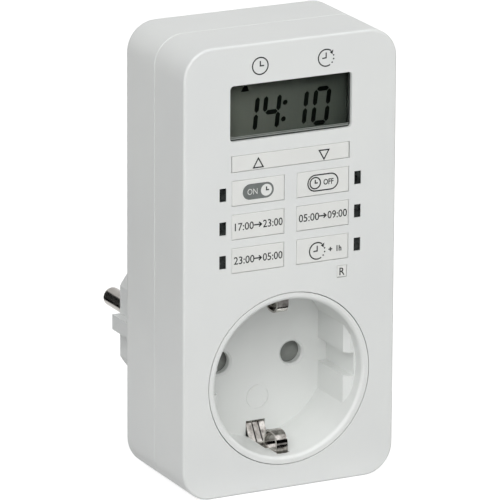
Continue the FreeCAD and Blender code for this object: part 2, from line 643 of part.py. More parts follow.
def rear_housing():
    """Rear shell with a round opening for the plug body, screw pillars and board posts."""
    shell = case_block(0, PARTING_Y, CASE_DEPTH)
    rear = [e for e in shell.Edges if abs(e.BoundBox.YMin - CASE_DEPTH) < TOUCH]
    shell = shell.makeFillet(REAR_EDGE_R, rear)
    seam = [e for e in shell.Edges if abs(e.BoundBox.YMax - PARTING_Y) < TOUCH]
    shell = shell.makeChamfer(SEAM_CHAMFER, seam)
    lip_out = WALL - LIP_THICKNESS - LIP_GAP
    lip_end = PARTING_Y + LIP_LENGTH + LIP_GAP
    lip_space = case_block(lip_out, PARTING_Y - PAST, lip_end)
    shell = shell.cut(case_block(WALL, PARTING_Y - PAST, CASE_DEPTH - WALL)).cut(lip_space)
    adds = []
    cuts = [disc(0, AXIS_Z, SPACER_HOLLOW_R + SPIGOT_WALL + SLIP, CASE_DEPTH - WALL - PAST,
                 CASE_DEPTH + PAST)]
    for x, z in CASE_SCREWS:
        adds.append(disc(x, z, CASE_PILLAR_R, PARTING_Y, CASE_DEPTH - REAR_EDGE_R))
        cuts.append(disc(x, z, CASE_HEAD_R + PASS_HOLE_GAP, CASE_SCREW_SEAT_Y, CASE_DEPTH + PAST))
        cuts.append(disc(x, z, SCREW_R + PASS_HOLE_GAP, PARTING_Y - PAST, CASE_SCREW_SEAT_Y + PAST))
        round_boss = disc(x, z, CASE_PILLAR_R + PAST, PARTING_Y - PAST, lip_end)
        cuts.append(round_boss.cut(disc(x, z, CASE_BOSS_R, PARTING_Y - 2 * PAST, lip_end + PAST))
                    .common(lip_space))
    for x, z in POWER_POSTS:
        adds.append(disc(x, z, BOARD_POST_R, POWER_BACK_Y, CASE_DEPTH - WALL / 2))
        cuts.append(disc(x, z, SCREW_R + THREAD_FIT, POWER_BACK_Y - PAST,
                         POWER_BOARD_Y + BOARD_SCREW_LENGTH + BLIND_GAP))
    return cut(fuse([shell] + adds), cuts)


def plug_body():
    """Round spacer and plug in one moulding, with a spigot welded into the rear wall."""
    spacer = taper(0, AXIS_Z, SPACER_R + SPACER_TAPER, SPACER_R, CASE_DEPTH, SPACER_END_Y)
    spacer_rim = [e for e in spacer.Edges if abs(e.BoundBox.YMin - SPACER_END_Y) < TOUCH]
    spacer = spacer.makeFillet(PLUG_EDGE, spacer_rim)
    spigot = disc(0, AXIS_Z, SPACER_HOLLOW_R + SPIGOT_WALL, CASE_DEPTH - WALL, SPACER_END_Y - WALL)
    plug = plug_outline(PLUG_R, PLUG_FLAT_X, SPACER_END_Y - WALL, PLUG_FACE_Y)
    nose = block(-NOSE_X, NOSE_X, SPACER_END_Y - WALL, PLUG_FACE_Y,
                 AXIS_Z - NOSE_HEIGHT / 2, AXIS_Z + NOSE_HEIGHT / 2)
    plug = plug.fuse(nose.common(disc(0, AXIS_Z, PLUG_R, SPACER_END_Y - WALL, PLUG_FACE_Y)))
    plug = plug.removeSplitter()
    face = [e for e in plug.Edges if abs(e.BoundBox.YMin - PLUG_FACE_Y) < TOUCH]
    plug = plug.makeChamfer(PLUG_EDGE, face)
    body = fuse([spacer, spigot, plug])
    body = body.cut(disc(0, AXIS_Z, SPACER_HOLLOW_R, CASE_DEPTH - WALL - PAST, SPACER_END_Y - WALL))
    body = body.cut(plug_outline(PLUG_R - PLUG_WALL, PLUG_FLAT_X - PLUG_WALL,
                                 SPACER_END_Y - WALL - PAST, PLUG_INNER_Y))
    ledge_low = STRIP_INNER - STRIP_GAP / 2 - PLUG_WALL / 2
    ledge = block(-STRIP_WIDTH / 2 - PLUG_WALL, STRIP_WIDTH / 2 + PLUG_WALL, SPACER_END_Y,
                  PLUG_FACE_Y - PLUG_EDGE, AXIS_Z + ledge_low, AXIS_Z + STRIP_INNER + STRIP_THICKNESS)
    strip_half = STRIP_WIDTH / 2 + STRIP_GAP
    buried = block(-strip_half, strip_half, CASE_DEPTH, PLUG_FACE_Y + PAST,
                   AXIS_Z + STRIP_INNER - STRIP_GAP / 2,
                   AXIS_Z + STRIP_INNER + STRIP_THICKNESS + STRIP_GAP)
    shown = block(-strip_half, strip_half, SPACER_END_Y + PLUG_EDGE, PLUG_FACE_Y + PAST,
                  AXIS_Z + STRIP_INNER - STRIP_GAP / 2, AXIS_Z + PLUG_R + PAST)
    post_hole_end = PLUG_INNER_Y + PLUG_FACE_WALL / 2
    post = disc(0, AXIS_Z, BOARD_POST_R, PIN_HEAD_Y, post_hole_end)
    cuts = [buried, shown, mirror_z(buried), mirror_z(shown),
            disc(0, AXIS_Z, SCREW_R + THREAD_FIT, PIN_HEAD_Y - PAST, post_hole_end)]
    cuts += [disc(side * PIN_X, AXIS_Z, PIN_ROOT_R + PIN_HOLE_FIT, PLUG_INNER_Y - PAST,
                  PLUG_FACE_Y + PAST) for side in (-1, 1)]
    return cut(fuse([body, ledge, mirror_z(ledge), post]), cuts)


def socket_insert():
    """Socket well with its rim, side pads, floor, clip troughs, flange and shutter rails."""
    tube = disc(0, AXIS_Z, TUBE_R, 0, FLOOR_BACK_Y)
    flange = rounded_block(-FLANGE_HALF_X, FLANGE_HALF_X, FLANGE_Y, FLANGE_Y + FLANGE_THICKNESS,
                           AXIS_Z - FLANGE_HALF_Z, AXIS_Z + FLANGE_HALF_Z, FLANGE_CORNER_R)
    notch_half = CASE_SCREW_X - FLANGE_CORNER_R - FLANGE_NOTCH_GAP
    notch = block(-notch_half, notch_half, FLANGE_Y - PAST, FLANGE_Y + FLANGE_THICKNESS + PAST,
                  AXIS_Z + FLANGE_HALF_Z - FLANGE_NOTCH, AXIS_Z + FLANGE_HALF_Z + PAST)
    flange = flange.cut(notch)
    slot_half = CLIP_WIDTH / 2 + CLIP_SLOT_GAP
    trough = block(-slot_half - TROUGH_WALL, slot_half + TROUGH_WALL, WALL + RIM_GAP, FLOOR_BACK_Y,
                   AXIS_Z - TROUGH_LOW - TROUGH_WALL, AXIS_Z - WELL_R + PAST)
    adds = [tube, flange, trough, mirror_z(trough)]
    for side in (-1, 1):
        rail_x = PIN_X + SHUTTER_BLADE_HALF_X + SHUTTER_GAP
        low, high = sorted((side * rail_x, side * (rail_x + CHAMBER_WALL)))
        adds.append(block(low, high, FLOOR_BACK_Y - PAST, SHUTTER_BACK_Y,
                          AXIS_Z - SHUTTER_HALF_Z - SHUTTER_TRAVEL, AXIS_Z + SHUTTER_HALF_Z))
    for x, z in CARRIER_SCREWS:
        adds.append(disc(x, z, CARRIER_POST_R, FLOOR_BACK_Y - PAST, CARRIER_Y))
    body = fuse(adds)
    well = disc(0, AXIS_Z, WELL_R, -PAST, WELL_DEPTH)
    pad = block(PAD_X, WELL_R + PAST, PAD_START_Y, WELL_DEPTH, AXIS_Z - WELL_R, AXIS_Z + WELL_R)
    wedge = Part.makePolygon([Vector(PAD_X - PAST, PAD_START_Y - PAST, 0),
                              Vector(PAD_X - PAST, PAD_START_Y + PAD_CHAMFER + PAST, 0),
                              Vector(PAD_X + PAD_CHAMFER + PAST, PAD_START_Y - PAST, 0),
                              Vector(PAD_X - PAST, PAD_START_Y - PAST, 0)])
    wedge = Part.Face(wedge).extrude(Vector(0, 0, CASE_HEIGHT))
    groove = block(PAD_X - PAST, GROOVE_X, PAD_START_Y - PAST, WELL_DEPTH + PAST,
                   AXIS_Z - GROOVE_HEIGHT / 2, AXIS_Z + GROOVE_HEIGHT / 2)
    pad = cut(pad, [wedge, groove])
    well = cut(well, [pad, mirror_x(pad)])
    body = body.cut(well)
    rim = [edge for edge in body.Edges if abs(edge.BoundBox.YMax) < TOUCH
           and edge.BoundBox.XLength < 2 * TUBE_R - TOUCH]
    body = body.makeFillet(RIM_ROUND, rim)
    neck_half = CLIP_LOOP_WIDTH / 2 + 2 * CLIP_SLOT_GAP
    slot = block(-slot_half, slot_half, CLIP_NECK_Y - CLIP_SLOT_GAP, FLOOR_BACK_Y + PAST,
                 AXIS_Z - TROUGH_LOW, AXIS_Z - CLIP_SLOT_TOP)
    neck = block(-neck_half, neck_half, CLIP_SLOT_START_Y, CLIP_NECK_Y,
                 AXIS_Z - TROUGH_LOW, AXIS_Z - CLIP_SLOT_TOP)
    cuts = [slot, mirror_z(slot), neck, mirror_z(neck)]
    for side in (-1, 1):
        cuts.append(disc(side * PIN_X, AXIS_Z, PIN_HOLE_R, WELL_DEPTH - PAST, FLOOR_BACK_Y + PAST))
        cuts.append(taper(side * PIN_X, AXIS_Z, PIN_HOLE_R + PIN_HOLE_BEVEL, PIN_HOLE_R,
                          WELL_DEPTH, WELL_DEPTH + PIN_HOLE_BEVEL))
        cuts.append(disc(side * CASE_SCREW_X, CASE_SCREW_UP, CASE_BOSS_R + PASS_HOLE_GAP,
                         FLANGE_Y - PAST, FLANGE_Y + FLANGE_THICKNESS + PAST))
    for x, z in INSERT_SCREWS:
        cuts.append(disc(x, z, SCREW_R + PASS_HOLE_GAP / 2, FLANGE_Y - PAST,
                         FLANGE_Y + FLANGE_THICKNESS + PAST))
    for x, z in CARRIER_SCREWS:
        cuts.append(disc(x, z, CARRIER_SCREW_R + THREAD_FIT, WELL_DEPTH + FLOOR_THICKNESS / 2,
                         CARRIER_Y + PAST))
    mark_z = AXIS_Z - MARK_BELOW_AXIS
    mark = disc(MARK_X, mark_z, MARK_R, WELL_DEPTH - MARK_HEIGHT, WELL_DEPTH + MARK_HEIGHT)
    mark = mark.cut(disc(MARK_X, mark_z, MARK_R - MARK_LINE, WELL_DEPTH - PAST, WELL_DEPTH + PAST))
    return cut(body, cuts).fuse(mark).removeSplitter()


def earth_clip():
    """Lower earth spring: a wide tail through the floor, a slit ramp, and a narrow tongue and loop."""
    seat = AXIS_Z - CLIP_SEAT
    tail = AXIS_Z - STRIP_INNER + CLIP_THICKNESS / 2
    half = CLIP_WIDTH / 2
    loop_back = CLIP_LOOP_FRONT_Y + CLIP_LOOP_LENGTH
    middle = (CLIP_LOOP_FRONT_Y + loop_back) / 2
    wide = bent_strip([(FLOOR_BACK_Y + CLIP_TAIL, tail), (WELL_DEPTH + CLIP_BEND_R, tail),
                       (WELL_DEPTH - CLIP_RAMP_FOOT, seat), (CLIP_NECK_Y, seat)],
                      CLIP_BEND_R, CLIP_THICKNESS, -half, half)
    loop_half = CLIP_LOOP_WIDTH / 2
    tongue = block(-loop_half, loop_half, CLIP_SLOT_START_Y + 2 * CLIP_SLOT_GAP, loop_back,
                   seat - CLIP_THICKNESS / 2, seat + CLIP_THICKNESS / 2)
    crown = AXIS_Z - CLIP_REACH - CLIP_THICKNESS / 2
    r = CLIP_LOOP_LENGTH / 2 - CLIP_THICKNESS
    loop = bent_strip([(middle, seat), (loop_back - CLIP_THICKNESS / 2, seat),
                       (loop_back - CLIP_THICKNESS / 2, crown),
                       (CLIP_LOOP_FRONT_Y + CLIP_THICKNESS / 2, crown),
                       (CLIP_LOOP_FRONT_Y + CLIP_THICKNESS / 2, seat + CLIP_THICKNESS)],
                      CLIP_LOOP_SHARE * min(r, (crown - seat) / 2), CLIP_THICKNESS, -loop_half, loop_half)
    slits = [block(x - CLIP_SLIT_WIDTH / 2, x + CLIP_SLIT_WIDTH / 2, WELL_DEPTH - CLIP_RAMP_FOOT,
                   WELL_DEPTH + CLIP_BEND_R, seat - CLIP_THICKNESS, tail + CLIP_THICKNESS)
             for x in (-CLIP_SLIT_X, CLIP_SLIT_X)]
    return cut(fuse([wide, tongue, loop]), slits)


def plug_earth_strip():
    """Lower earth strip: lies in the plug's slot and runs forward to the clip's tail."""
    return block(-STRIP_WIDTH / 2, STRIP_WIDTH / 2, FLOOR_BACK_Y + 2 * CLIP_BEND_R,
                 PLUG_FACE_Y - PLUG_EDGE, AXIS_Z - STRIP_INNER - STRIP_THICKNESS, AXIS_Z - STRIP_INNER)


def earth_bridge():
    """Strip that joins the upper and the lower earth strips between the contact chambers."""
    reach = STRIP_INNER - BAR_THICKNESS / 2
    return bent_strip([(BRIDGE_Y + BRIDGE_FOOT, AXIS_Z - reach), (BRIDGE_Y, AXIS_Z - reach),
                       (BRIDGE_Y, AXIS_Z + reach), (BRIDGE_Y + BRIDGE_FOOT, AXIS_Z + reach)],
                      BAR_BEND_R, BAR_THICKNESS, -STRIP_WIDTH / 2, STRIP_WIDTH / 2)


def safety_shutter():
    """Sliding shutter: a ramped blade behind each pin hole, a bar between and a spring tab."""
    top = AXIS_Z + SHUTTER_HALF_Z
    low = AXIS_Z - SHUTTER_HALF_Z
    blade = extruded_polygon([(SHUTTER_Y, AXIS_Z - SHUTTER_RAMP_FOOT), (SHUTTER_Y + SHUTTER_RAMP, top),
                              (SHUTTER_BACK_Y, top), (SHUTTER_BACK_Y, low), (SHUTTER_Y, low)],
                             PIN_X - SHUTTER_BLADE_HALF_X, PIN_X + SHUTTER_BLADE_HALF_X)
    bar = block(-PIN_X, PIN_X, SHUTTER_BACK_Y - SHUTTER_THICKNESS / 2, SHUTTER_BACK_Y,
                low, low + SHUTTER_BAR)
    tab = block(-TAB_HALF_X, TAB_HALF_X, SHUTTER_BACK_Y - SHUTTER_THICKNESS / 2,
                CARRIER_Y + 2 * SPRING_R, low, low + SHUTTER_BAR / 2)
    return fuse([blade, mirror_x(blade), bar, tab])


def shutter_spring():
    """Compression spring below the shutter's tab, as one unbroken tube along a helix."""
    pitch = (SPRING_LENGTH - 2 * SPRING_WIRE_R) / SPRING_TURNS
    helix = Part.makeHelix(pitch, pitch * SPRING_TURNS, SPRING_R)
    start = Vector(SPRING_R, 0, 0)
    rise = Vector(0, 2 * math.pi * SPRING_R, pitch)
    profile = Part.Wire(Part.makeCircle(SPRING_WIRE_R, start, rise))
    coil = Part.Wire(helix).makePipeShell([profile], True, True)
    top = AXIS_Z - SHUTTER_HALF_Z - SPRING_WIRE_R
    coil.translate(Vector(0, CARRIER_Y + SPRING_R, top - pitch * SPRING_TURNS))
    return coil


def contact_carrier():
    """Plate behind the shutter with a chamber for each socket contact and a spring channel."""
    plate = rounded_block(-CARRIER_HALF_X, CARRIER_HALF_X, CARRIER_Y, CARRIER_BACK_Y,
                          AXIS_Z - CARRIER_HALF_Z, AXIS_Z + CARRIER_HALF_Z, CORNER_R / 2)
    adds = [plate]
    cuts = []
    out_x = CHAMBER_HALF_X + CHAMBER_WALL
    out_z = CHAMBER_HALF_Z + CHAMBER_WALL
    for side in (-1, 1):
        x = side * PIN_X
        adds.append(rounded_block(x - out_x, x + out_x, CARRIER_Y, CHAMBER_END_Y,
                                  AXIS_Z - out_z, AXIS_Z + out_z, CHAMBER_WALL))
        cuts.append(block(x - CHAMBER_HALF_X, x + CHAMBER_HALF_X, CARRIER_BACK_Y, CHAMBER_END_Y + PAST,
                          AXIS_Z - CHAMBER_HALF_Z, AXIS_Z + CHAMBER_HALF_Z))
        cuts.append(disc(x, AXIS_Z, PIN_HOLE_R, CARRIER_Y - PAST, CARRIER_BACK_Y + PAST))
    channel_low = AXIS_Z - SHUTTER_HALF_Z - SPRING_LENGTH
    cuts.append(block(-TAB_HALF_X - SHUTTER_GAP, TAB_HALF_X + SHUTTER_GAP, CARRIER_Y - PAST,
                      CARRIER_Y + 2 * SPRING_R + SHUTTER_GAP, channel_low, AXIS_Z + SHUTTER_GAP))
    for x, z in CARRIER_SCREWS:
        cuts.append(disc(x, z, CARRIER_SCREW_R + SLIP, CARRIER_Y - PAST, CARRIER_BACK_Y + PAST))
    return cut(fuse(adds), cuts)


def socket_contact(side):
    """Sprung socket contact: one strip bent to a U that pinches the pin."""
    z = AXIS_Z
    pinch_y = CONTACT_MOUTH_Y + CONTACT_FLARE_LENGTH
    base = CONTACT_PINCH + CONTACT_BASE_SPREAD
    path = [(CONTACT_MOUTH_Y, z + CONTACT_MOUTH), (pinch_y, z + CONTACT_PINCH),
            (CONTACT_BASE_Y, z + base), (CONTACT_BASE_Y, z - base),
            (pinch_y, z - CONTACT_PINCH), (CONTACT_MOUTH_Y, z - CONTACT_MOUTH)]
    x = side * PIN_X
    return bent_strip(path, CLIP_BEND_R, CONTACT_SHEET, x - CONTACT_WIDTH / 2, x + CONTACT_WIDTH / 2)


def plug_pin(side):
    """Plug pin: rounded tip, root in the plug face, head behind it and a tail for its bus bar."""
    x = side * PIN_X
    shaft = disc(x, AXIS_Z, PIN_R, PLUG_INNER_Y, TOTAL_DEPTH)
    tip = [e for e in shaft.Edges if abs(e.BoundBox.YMin - TOTAL_DEPTH) < TOUCH]
    shaft = shaft.makeFillet(PIN_TIP_R, tip)
    root = disc(x, AXIS_Z, PIN_ROOT_R, PLUG_INNER_Y, PLUG_FACE_Y)
    head = disc(x, AXIS_Z, PIN_HEAD_R, PIN_HEAD_Y, PLUG_INNER_Y)
    tail = disc(x, AXIS_Z, PIN_TAIL_R, PIN_TAIL_Y, PIN_HEAD_Y)
    return fuse([shaft, root, head, tail])


def pin_carrier():
    """Insulating plate that holds both pin heads against the plug face."""
    plate = rounded_block(-PIN_CARRIER_HALF_X, PIN_CARRIER_HALF_X, PIN_CARRIER_Y, PIN_HEAD_Y,
                          AXIS_Z - PIN_CARRIER_HALF_Z, AXIS_Z + PIN_CARRIER_HALF_Z, CHAMBER_WALL)
    cuts = [disc(side * PIN_X, AXIS_Z, PIN_TAIL_R + SLIP, PIN_CARRIER_Y - PAST, PIN_HEAD_Y + PAST)
            for side in (-1, 1)]
    cuts.append(disc(0, AXIS_Z, SCREW_R + SLIP, PIN_CARRIER_Y - PAST, PIN_HEAD_Y + PAST))
    return cut(plate, cuts)


def bar_to_board(x0, start_y, above, x_foot0, x_foot1):
    """Bus bar: a foot plate at start_y, a run to the front above the axis and a rise to the board."""
    y = start_y
    run_z = AXIS_Z + above
    foot_low = AXIS_Z - BAR_FOOT_HALF
    path = [(y, foot_low), (y, run_z), (BAR_RISE_Y, run_z), (BAR_RISE_Y, BAR_BOARD_Z),
            (POWER_BOARD_Y - BAR_TAIL, BAR_BOARD_Z)]
    run = bent_strip(path, BAR_BEND_R, BAR_THICKNESS, x0, x0 + BAR_WIDTH)
    foot = block(x_foot0, x_foot1, y - BAR_THICKNESS / 2, y + BAR_THICKNESS / 2,
                 foot_low, AXIS_Z + BAR_FOOT_HALF)
    return fuse([run, foot])


def bus_bars():
    """Three bars: live pin to board, board to live contact, neutral pin to contact and board."""
    pin_y = PIN_CARRIER_Y - BAR_THICKNESS / 2
    contact_y = CONTACT_BACK_Y + BAR_THICKNESS / 2
    live_end = LIVE_BAR_X + CONTACT_WIDTH
    neutral_end = NEUTRAL_BAR_X + CONTACT_WIDTH
    live = bar_to_board(LIVE_BAR_X, pin_y, LIVE_BAR_ABOVE, LIVE_BAR_X, live_end)
    switched = bar_to_board(SWITCHED_BAR_X, contact_y, CONTACT_BAR_ABOVE, LIVE_BAR_X, live_end)
    neutral = bar_to_board(NEUTRAL_BAR_X, pin_y, CONTACT_BAR_ABOVE, NEUTRAL_BAR_X, neutral_end)
    link = block(NEUTRAL_BAR_X, NEUTRAL_BAR_X + BAR_WIDTH, contact_y - BAR_THICKNESS / 2,
                 contact_y + BAR_THICKNESS / 2, AXIS_Z - BAR_FOOT_HALF, AXIS_Z + CONTACT_BAR_ABOVE)
    neutral = fuse([neutral, link])
    holes = [disc(side * PIN_X, AXIS_Z, PIN_TAIL_R + SLIP, pin_y - PAST, pin_y + PAST)
             for side in (-1, 1)]
    return cut(live, holes), switched, cut(neutral, holes)


def bar_slots():
    """Slots in the power board for the tails of the bus bars."""
    half = BAR_THICKNESS / 2 + SLIP
    return [block(x0 - SLIP, x0 + BAR_WIDTH + SLIP, POWER_BOARD_Y - PAST, POWER_BACK_Y + PAST,
                  BAR_BOARD_Z - half, BAR_BOARD_Z + half)
            for x0 in (LIVE_BAR_X, SWITCHED_BAR_X, NEUTRAL_BAR_X)]


def lcd_window():
    """Clear window with a flange behind the front wall."""
    front = rounded_block(-WINDOW_HALF_X + LENS_GAP, WINDOW_HALF_X - LENS_GAP, LENS_RECESS, WALL,
                          WINDOW_BOTTOM_Z + LENS_GAP, WINDOW_TOP_Z - LENS_GAP, WINDOW_CORNER_R - LENS_GAP)
    half = WINDOW_HALF_X + LENS_FLANGE
    flange = rounded_block(-half, half, WALL, WALL + LENS_FLANGE_THICKNESS,
                           WINDOW_BOTTOM_Z - LENS_FLANGE, WINDOW_TOP_Z + LENS_FLANGE, WINDOW_CORNER_R)
    return fuse([front, flange])


def panel_place():
    """Depth range and outline of the display glass."""
    y0 = WALL + LENS_FLANGE_THICKNESS + FRAME_LIP + PANEL_GAP
    half = WINDOW_HALF_X + PANEL_MARGIN
    return y0, y0 + PANEL_THICKNESS, half, WINDOW_BOTTOM_Z - PANEL_MARGIN_Z, WINDOW_TOP_Z + PANEL_MARGIN_Z


def lcd_panel():
    """Display glass."""
    y0, y1, half, low, high = panel_place()
    return block(-half, half, y0, y1, low, high)


def lcd_frame():
    """Frame that holds the display glass and its connectors over the control board."""
    y0, _, half, low, high = panel_place()
    outer = half + PANEL_GAP + FRAME_WALL
    front_y = y0 - FRAME_LIP
    frame = rounded_block(-outer, outer, front_y, CONTROL_BOARD_Y, low - PANEL_GAP - FRAME_WALL,
                          high + PANEL_GAP + FRAME_WALL, FRAME_WALL)
    pocket = block(-half - PANEL_GAP, half + PANEL_GAP, y0, CONTROL_BOARD_Y + PAST,
                   low - PANEL_GAP, high + PANEL_GAP)
    view = block(-half + FRAME_WALL, half - FRAME_WALL, front_y - PAST, y0 + PAST, low + FRAME_WALL,
                 high - FRAME_WALL)
    return cut(frame, [pocket, view])


def lcd_connectors():
    """Two rubber strips that carry the display signals from the board to the glass."""
    _, y1, half, low, high = panel_place()
    return [block(-half + FRAME_WALL, half - FRAME_WALL, y1, CONTROL_BOARD_Y, z, z + CONNECTOR_HEIGHT)
            for z in (low, high - CONNECTOR_HEIGHT)]


def key(x0, x1, z0, z1, margin):
    """Push key: cap in its opening, flange behind the wall and a stem over its dome."""
    cap = block(x0, x1, 0, KEY_FLANGE_Y + KEY_FLANGE / 2, z0, z1)
    front = [e for e in cap.Edges if abs(e.BoundBox.YMax) < TOUCH]
    cap = cap.makeFillet(KEY_EDGE_R, front)
    flange = block(x0 - margin, x1 + margin, KEY_FLANGE_Y, KEY_FLANGE_Y + KEY_FLANGE,
                   z0 - margin, z1 + margin)
    half = min(KEY_STEM, x1 - x0) / 2
    x, z = (x0 + x1) / 2, (z0 + z1) / 2
    stem = block(x - half, x + half, KEY_FLANGE_Y, KEY_STEM_END_Y, z - half, z + half)
    return fuse([cap, flange, stem])


def time_rocker_key():
    """Rocking bar with an axle in the middle and a stem near each end."""
    bar = block(-KEY_OUTER_X, KEY_OUTER_X, 0, WALL + KEY_SEAT_GAP, ROCKER_BOTTOM_Z, ROCKER_TOP_Z)
    front = [e for e in bar.Edges if abs(e.BoundBox.YMax) < TOUCH]
    bar = bar.makeFillet(KEY_EDGE_R, front)
    half = ROCKER_STEM_X + KEY_STEM / 2
    rib = block(-half, half, WALL / 2, ROCKER_BODY_BACK_Y, ROCKER_BOTTOM_Z, ROCKER_TOP_Z)
    reach = KEY_GAP + ROCKER_EAR
    axle = Part.makeCylinder(ROCKER_AXLE_R, ROCKER_HEIGHT + 2 * reach,
                             Vector(0, ROCKER_AXLE_Y, ROCKER_BOTTOM_Z - reach), Vector(0, 0, 1))
    half = KEY_STEM / 2
    stems = [block(x - half, x + half, WALL, KEY_STEM_END_Y, ROCKER_Z - half, ROCKER_Z + half)
             for x in (-ROCKER_STEM_X, ROCKER_STEM_X)]
    return fuse([bar, rib, axle] + stems)


def keypad_mat():
    """Silicone mat on the control board with a hollow dome under each key stem."""
    mat = block(-MAT_HALF_X, MAT_HALF_X, MAT_FRONT_Y, CONTROL_BOARD_Y, CONTROL_BOTTOM_Z,
                ROCKER_TOP_Z + MAT_TOP_EDGE)
    adds = [mat]
    cuts = []
    for x, z in DOMES:
        adds.append(taper(x, z, DOME_TOP_R, DOME_FOOT_R, DOME_TOP_Y, MAT_FRONT_Y + MAT_THICKNESS / 2))
        cuts.append(disc(x, z, DOME_HOLLOW_R, DOME_TOP_Y + MAT_THICKNESS, CONTROL_BOARD_Y + PAST))
    adds.append(taper(RESET_CENTRE_X, RESET_CENTRE_Z, RESET_DOME_TOP_R, RESET_DOME_FOOT_R,
                      DOME_TOP_Y, MAT_FRONT_Y + MAT_THICKNESS / 2))
    cuts.append(disc(RESET_CENTRE_X, RESET_CENTRE_Z, RESET_HOLLOW_R,
                     DOME_TOP_Y + MAT_THICKNESS, CONTROL_BOARD_Y + PAST))
    return cut(fuse(adds), cuts)


def contact_pills():
    """Carbon pill under each dome."""
    y0 = DOME_TOP_Y + MAT_THICKNESS
    places = DOMES + [(RESET_CENTRE_X, RESET_CENTRE_Z)]
    return [disc(x, z, PILL_R, y0, y0 + PILL_THICKNESS) for x, z in places]


def light_guide():
    """Right light guide: three smoked windows joined behind the wall, with prongs to the lamps."""
    back = WALL + KEY_SEAT_GAP + GUIDE_BAR
    parts = [block(LIGHT_INNER_X - GUIDE_MARGIN, LIGHT_OUTER_X + GUIDE_MARGIN, WALL + KEY_SEAT_GAP, back,
                   LIGHT_LOWS[-1] - GUIDE_MARGIN, LIGHT_LOWS[0] + LIGHT_HEIGHT + GUIDE_MARGIN)]
    for low in LIGHT_LOWS:
        parts.append(block(LIGHT_INNER_X, LIGHT_OUTER_X, LIGHT_RECESS,
                           CONTROL_BOARD_Y - LED_HEIGHT - LED_GAP, low, low + LIGHT_HEIGHT))
    return fuse(parts)


def indicator_leds():
    """Six small lamps on the control board."""
    lamps = []
    for low in LIGHT_LOWS:
        lamp = block(LIGHT_INNER_X, LIGHT_OUTER_X, CONTROL_BOARD_Y - LED_HEIGHT, CONTROL_BOARD_Y,
                     low, low + LIGHT_HEIGHT)
        lamps += [lamp, mirror_x(lamp)]
    return lamps


def control_board():
    """Front circuit board, notched round the case bosses and drilled for its screws."""
    board = block(-CONTROL_HALF_X, CONTROL_HALF_X, CONTROL_BOARD_Y, CONTROL_BACK_Y,
                  CONTROL_BOTTOM_Z, CONTROL_TOP_Z)
    cuts = [disc(x, z, CASE_BOSS_R + BOARD_EDGE_GAP, CONTROL_BOARD_Y - PAST, CONTROL_BACK_Y + PAST)
            for x, z in CASE_SCREWS if z > CONTROL_BOTTOM_Z]
    cuts += [disc(x, z, SCREW_R + SLIP, CONTROL_BOARD_Y - PAST, CONTROL_BACK_Y + PAST)
             for x, z in CONTROL_POSTS]
    corner = CASE_WIDTH / 2 - WALL - BOARD_EDGE_GAP
    outline = rounded_block(-corner, corner, CONTROL_BOARD_Y - PAST, CONTROL_BACK_Y + PAST,
                            WALL + BOARD_EDGE_GAP, CASE_HEIGHT - WALL - BOARD_EDGE_GAP,
                            CORNER_R - WALL - BOARD_EDGE_GAP)
    return cut(board.common(outline), cuts)


def power_board():
    """Rear circuit board, drilled for its screws and the bus bars."""
    board = block(-POWER_HALF_X, POWER_HALF_X, POWER_BOARD_Y, POWER_BACK_Y, POWER_BOTTOM_Z, POWER_TOP_Z)
    holes = [disc(x, z, SCREW_R + SLIP, POWER_BOARD_Y - PAST, POWER_BACK_Y + PAST)
             for x, z in POWER_POSTS]
    return cut(board, holes + bar_slots())


def on_board(x, z, width, depth, height):
    """Boxed component on the back of the power board, with rounded edges away from the board."""
    body = block(x, x + width, POWER_BACK_Y, POWER_BACK_Y + depth, z, z + height)
    far = [e for e in body.Edges if e.BoundBox.YMin > POWER_BACK_Y + TOUCH]
    return body.makeFillet(PART_EDGE_R, far)


def can(x, z, r, height):
    """Round component on the back of the power board."""
    body = disc(x, z, r, POWER_BACK_Y, POWER_BACK_Y + height)
    far = [e for e in body.Edges if e.BoundBox.YMin > POWER_BACK_Y + height - TOUCH]
    return body.makeFillet(PART_EDGE_R, far)


def diode(x):
    """Diode on the front of the power board."""
    body = block(x, x + DIODE_WIDTH, POWER_BOARD_Y - DIODE_DEPTH, POWER_BOARD_Y,
                 DIODE_Z, DIODE_Z + DIODE_HEIGHT)
    far = [e for e in body.Edges if e.BoundBox.YMax < POWER_BOARD_Y - TOUCH]
    return body.makeFillet(DIODE_EDGE_R, far)


def fuse_resistor():
    """Fusible resistor lying on the power board, with its two leads."""
    y = POWER_BACK_Y + FUSE_R + SLIP
    ends = (FUSE_Z - FUSE_LEAD, FUSE_Z + FUSE_LENGTH + FUSE_LEAD)
    up = Vector(0, 0, 1)
    body = Part.makeCylinder(FUSE_R, FUSE_LENGTH, Vector(0, y, FUSE_Z), up)
    wire = Part.makeCylinder(FUSE_LEAD_R, ends[1] - ends[0] + 4 * FUSE_LEAD_R,
                             Vector(0, y, ends[0] - 2 * FUSE_LEAD_R), up)
    feet = [disc(0, z, FUSE_LEAD_R, POWER_BACK_Y, y) for z in ends]
    return fuse([body, wire] + feet)


def crystal():
    """Watch crystal lying on the back of the control board."""
    y = CONTROL_BACK_Y + CRYSTAL_R
    return Part.makeCylinder(CRYSTAL_R, CRYSTAL_LENGTH, Vector(-CRYSTAL_LENGTH / 2, y, CRYSTAL_Z),
                             Vector(1, 0, 0))


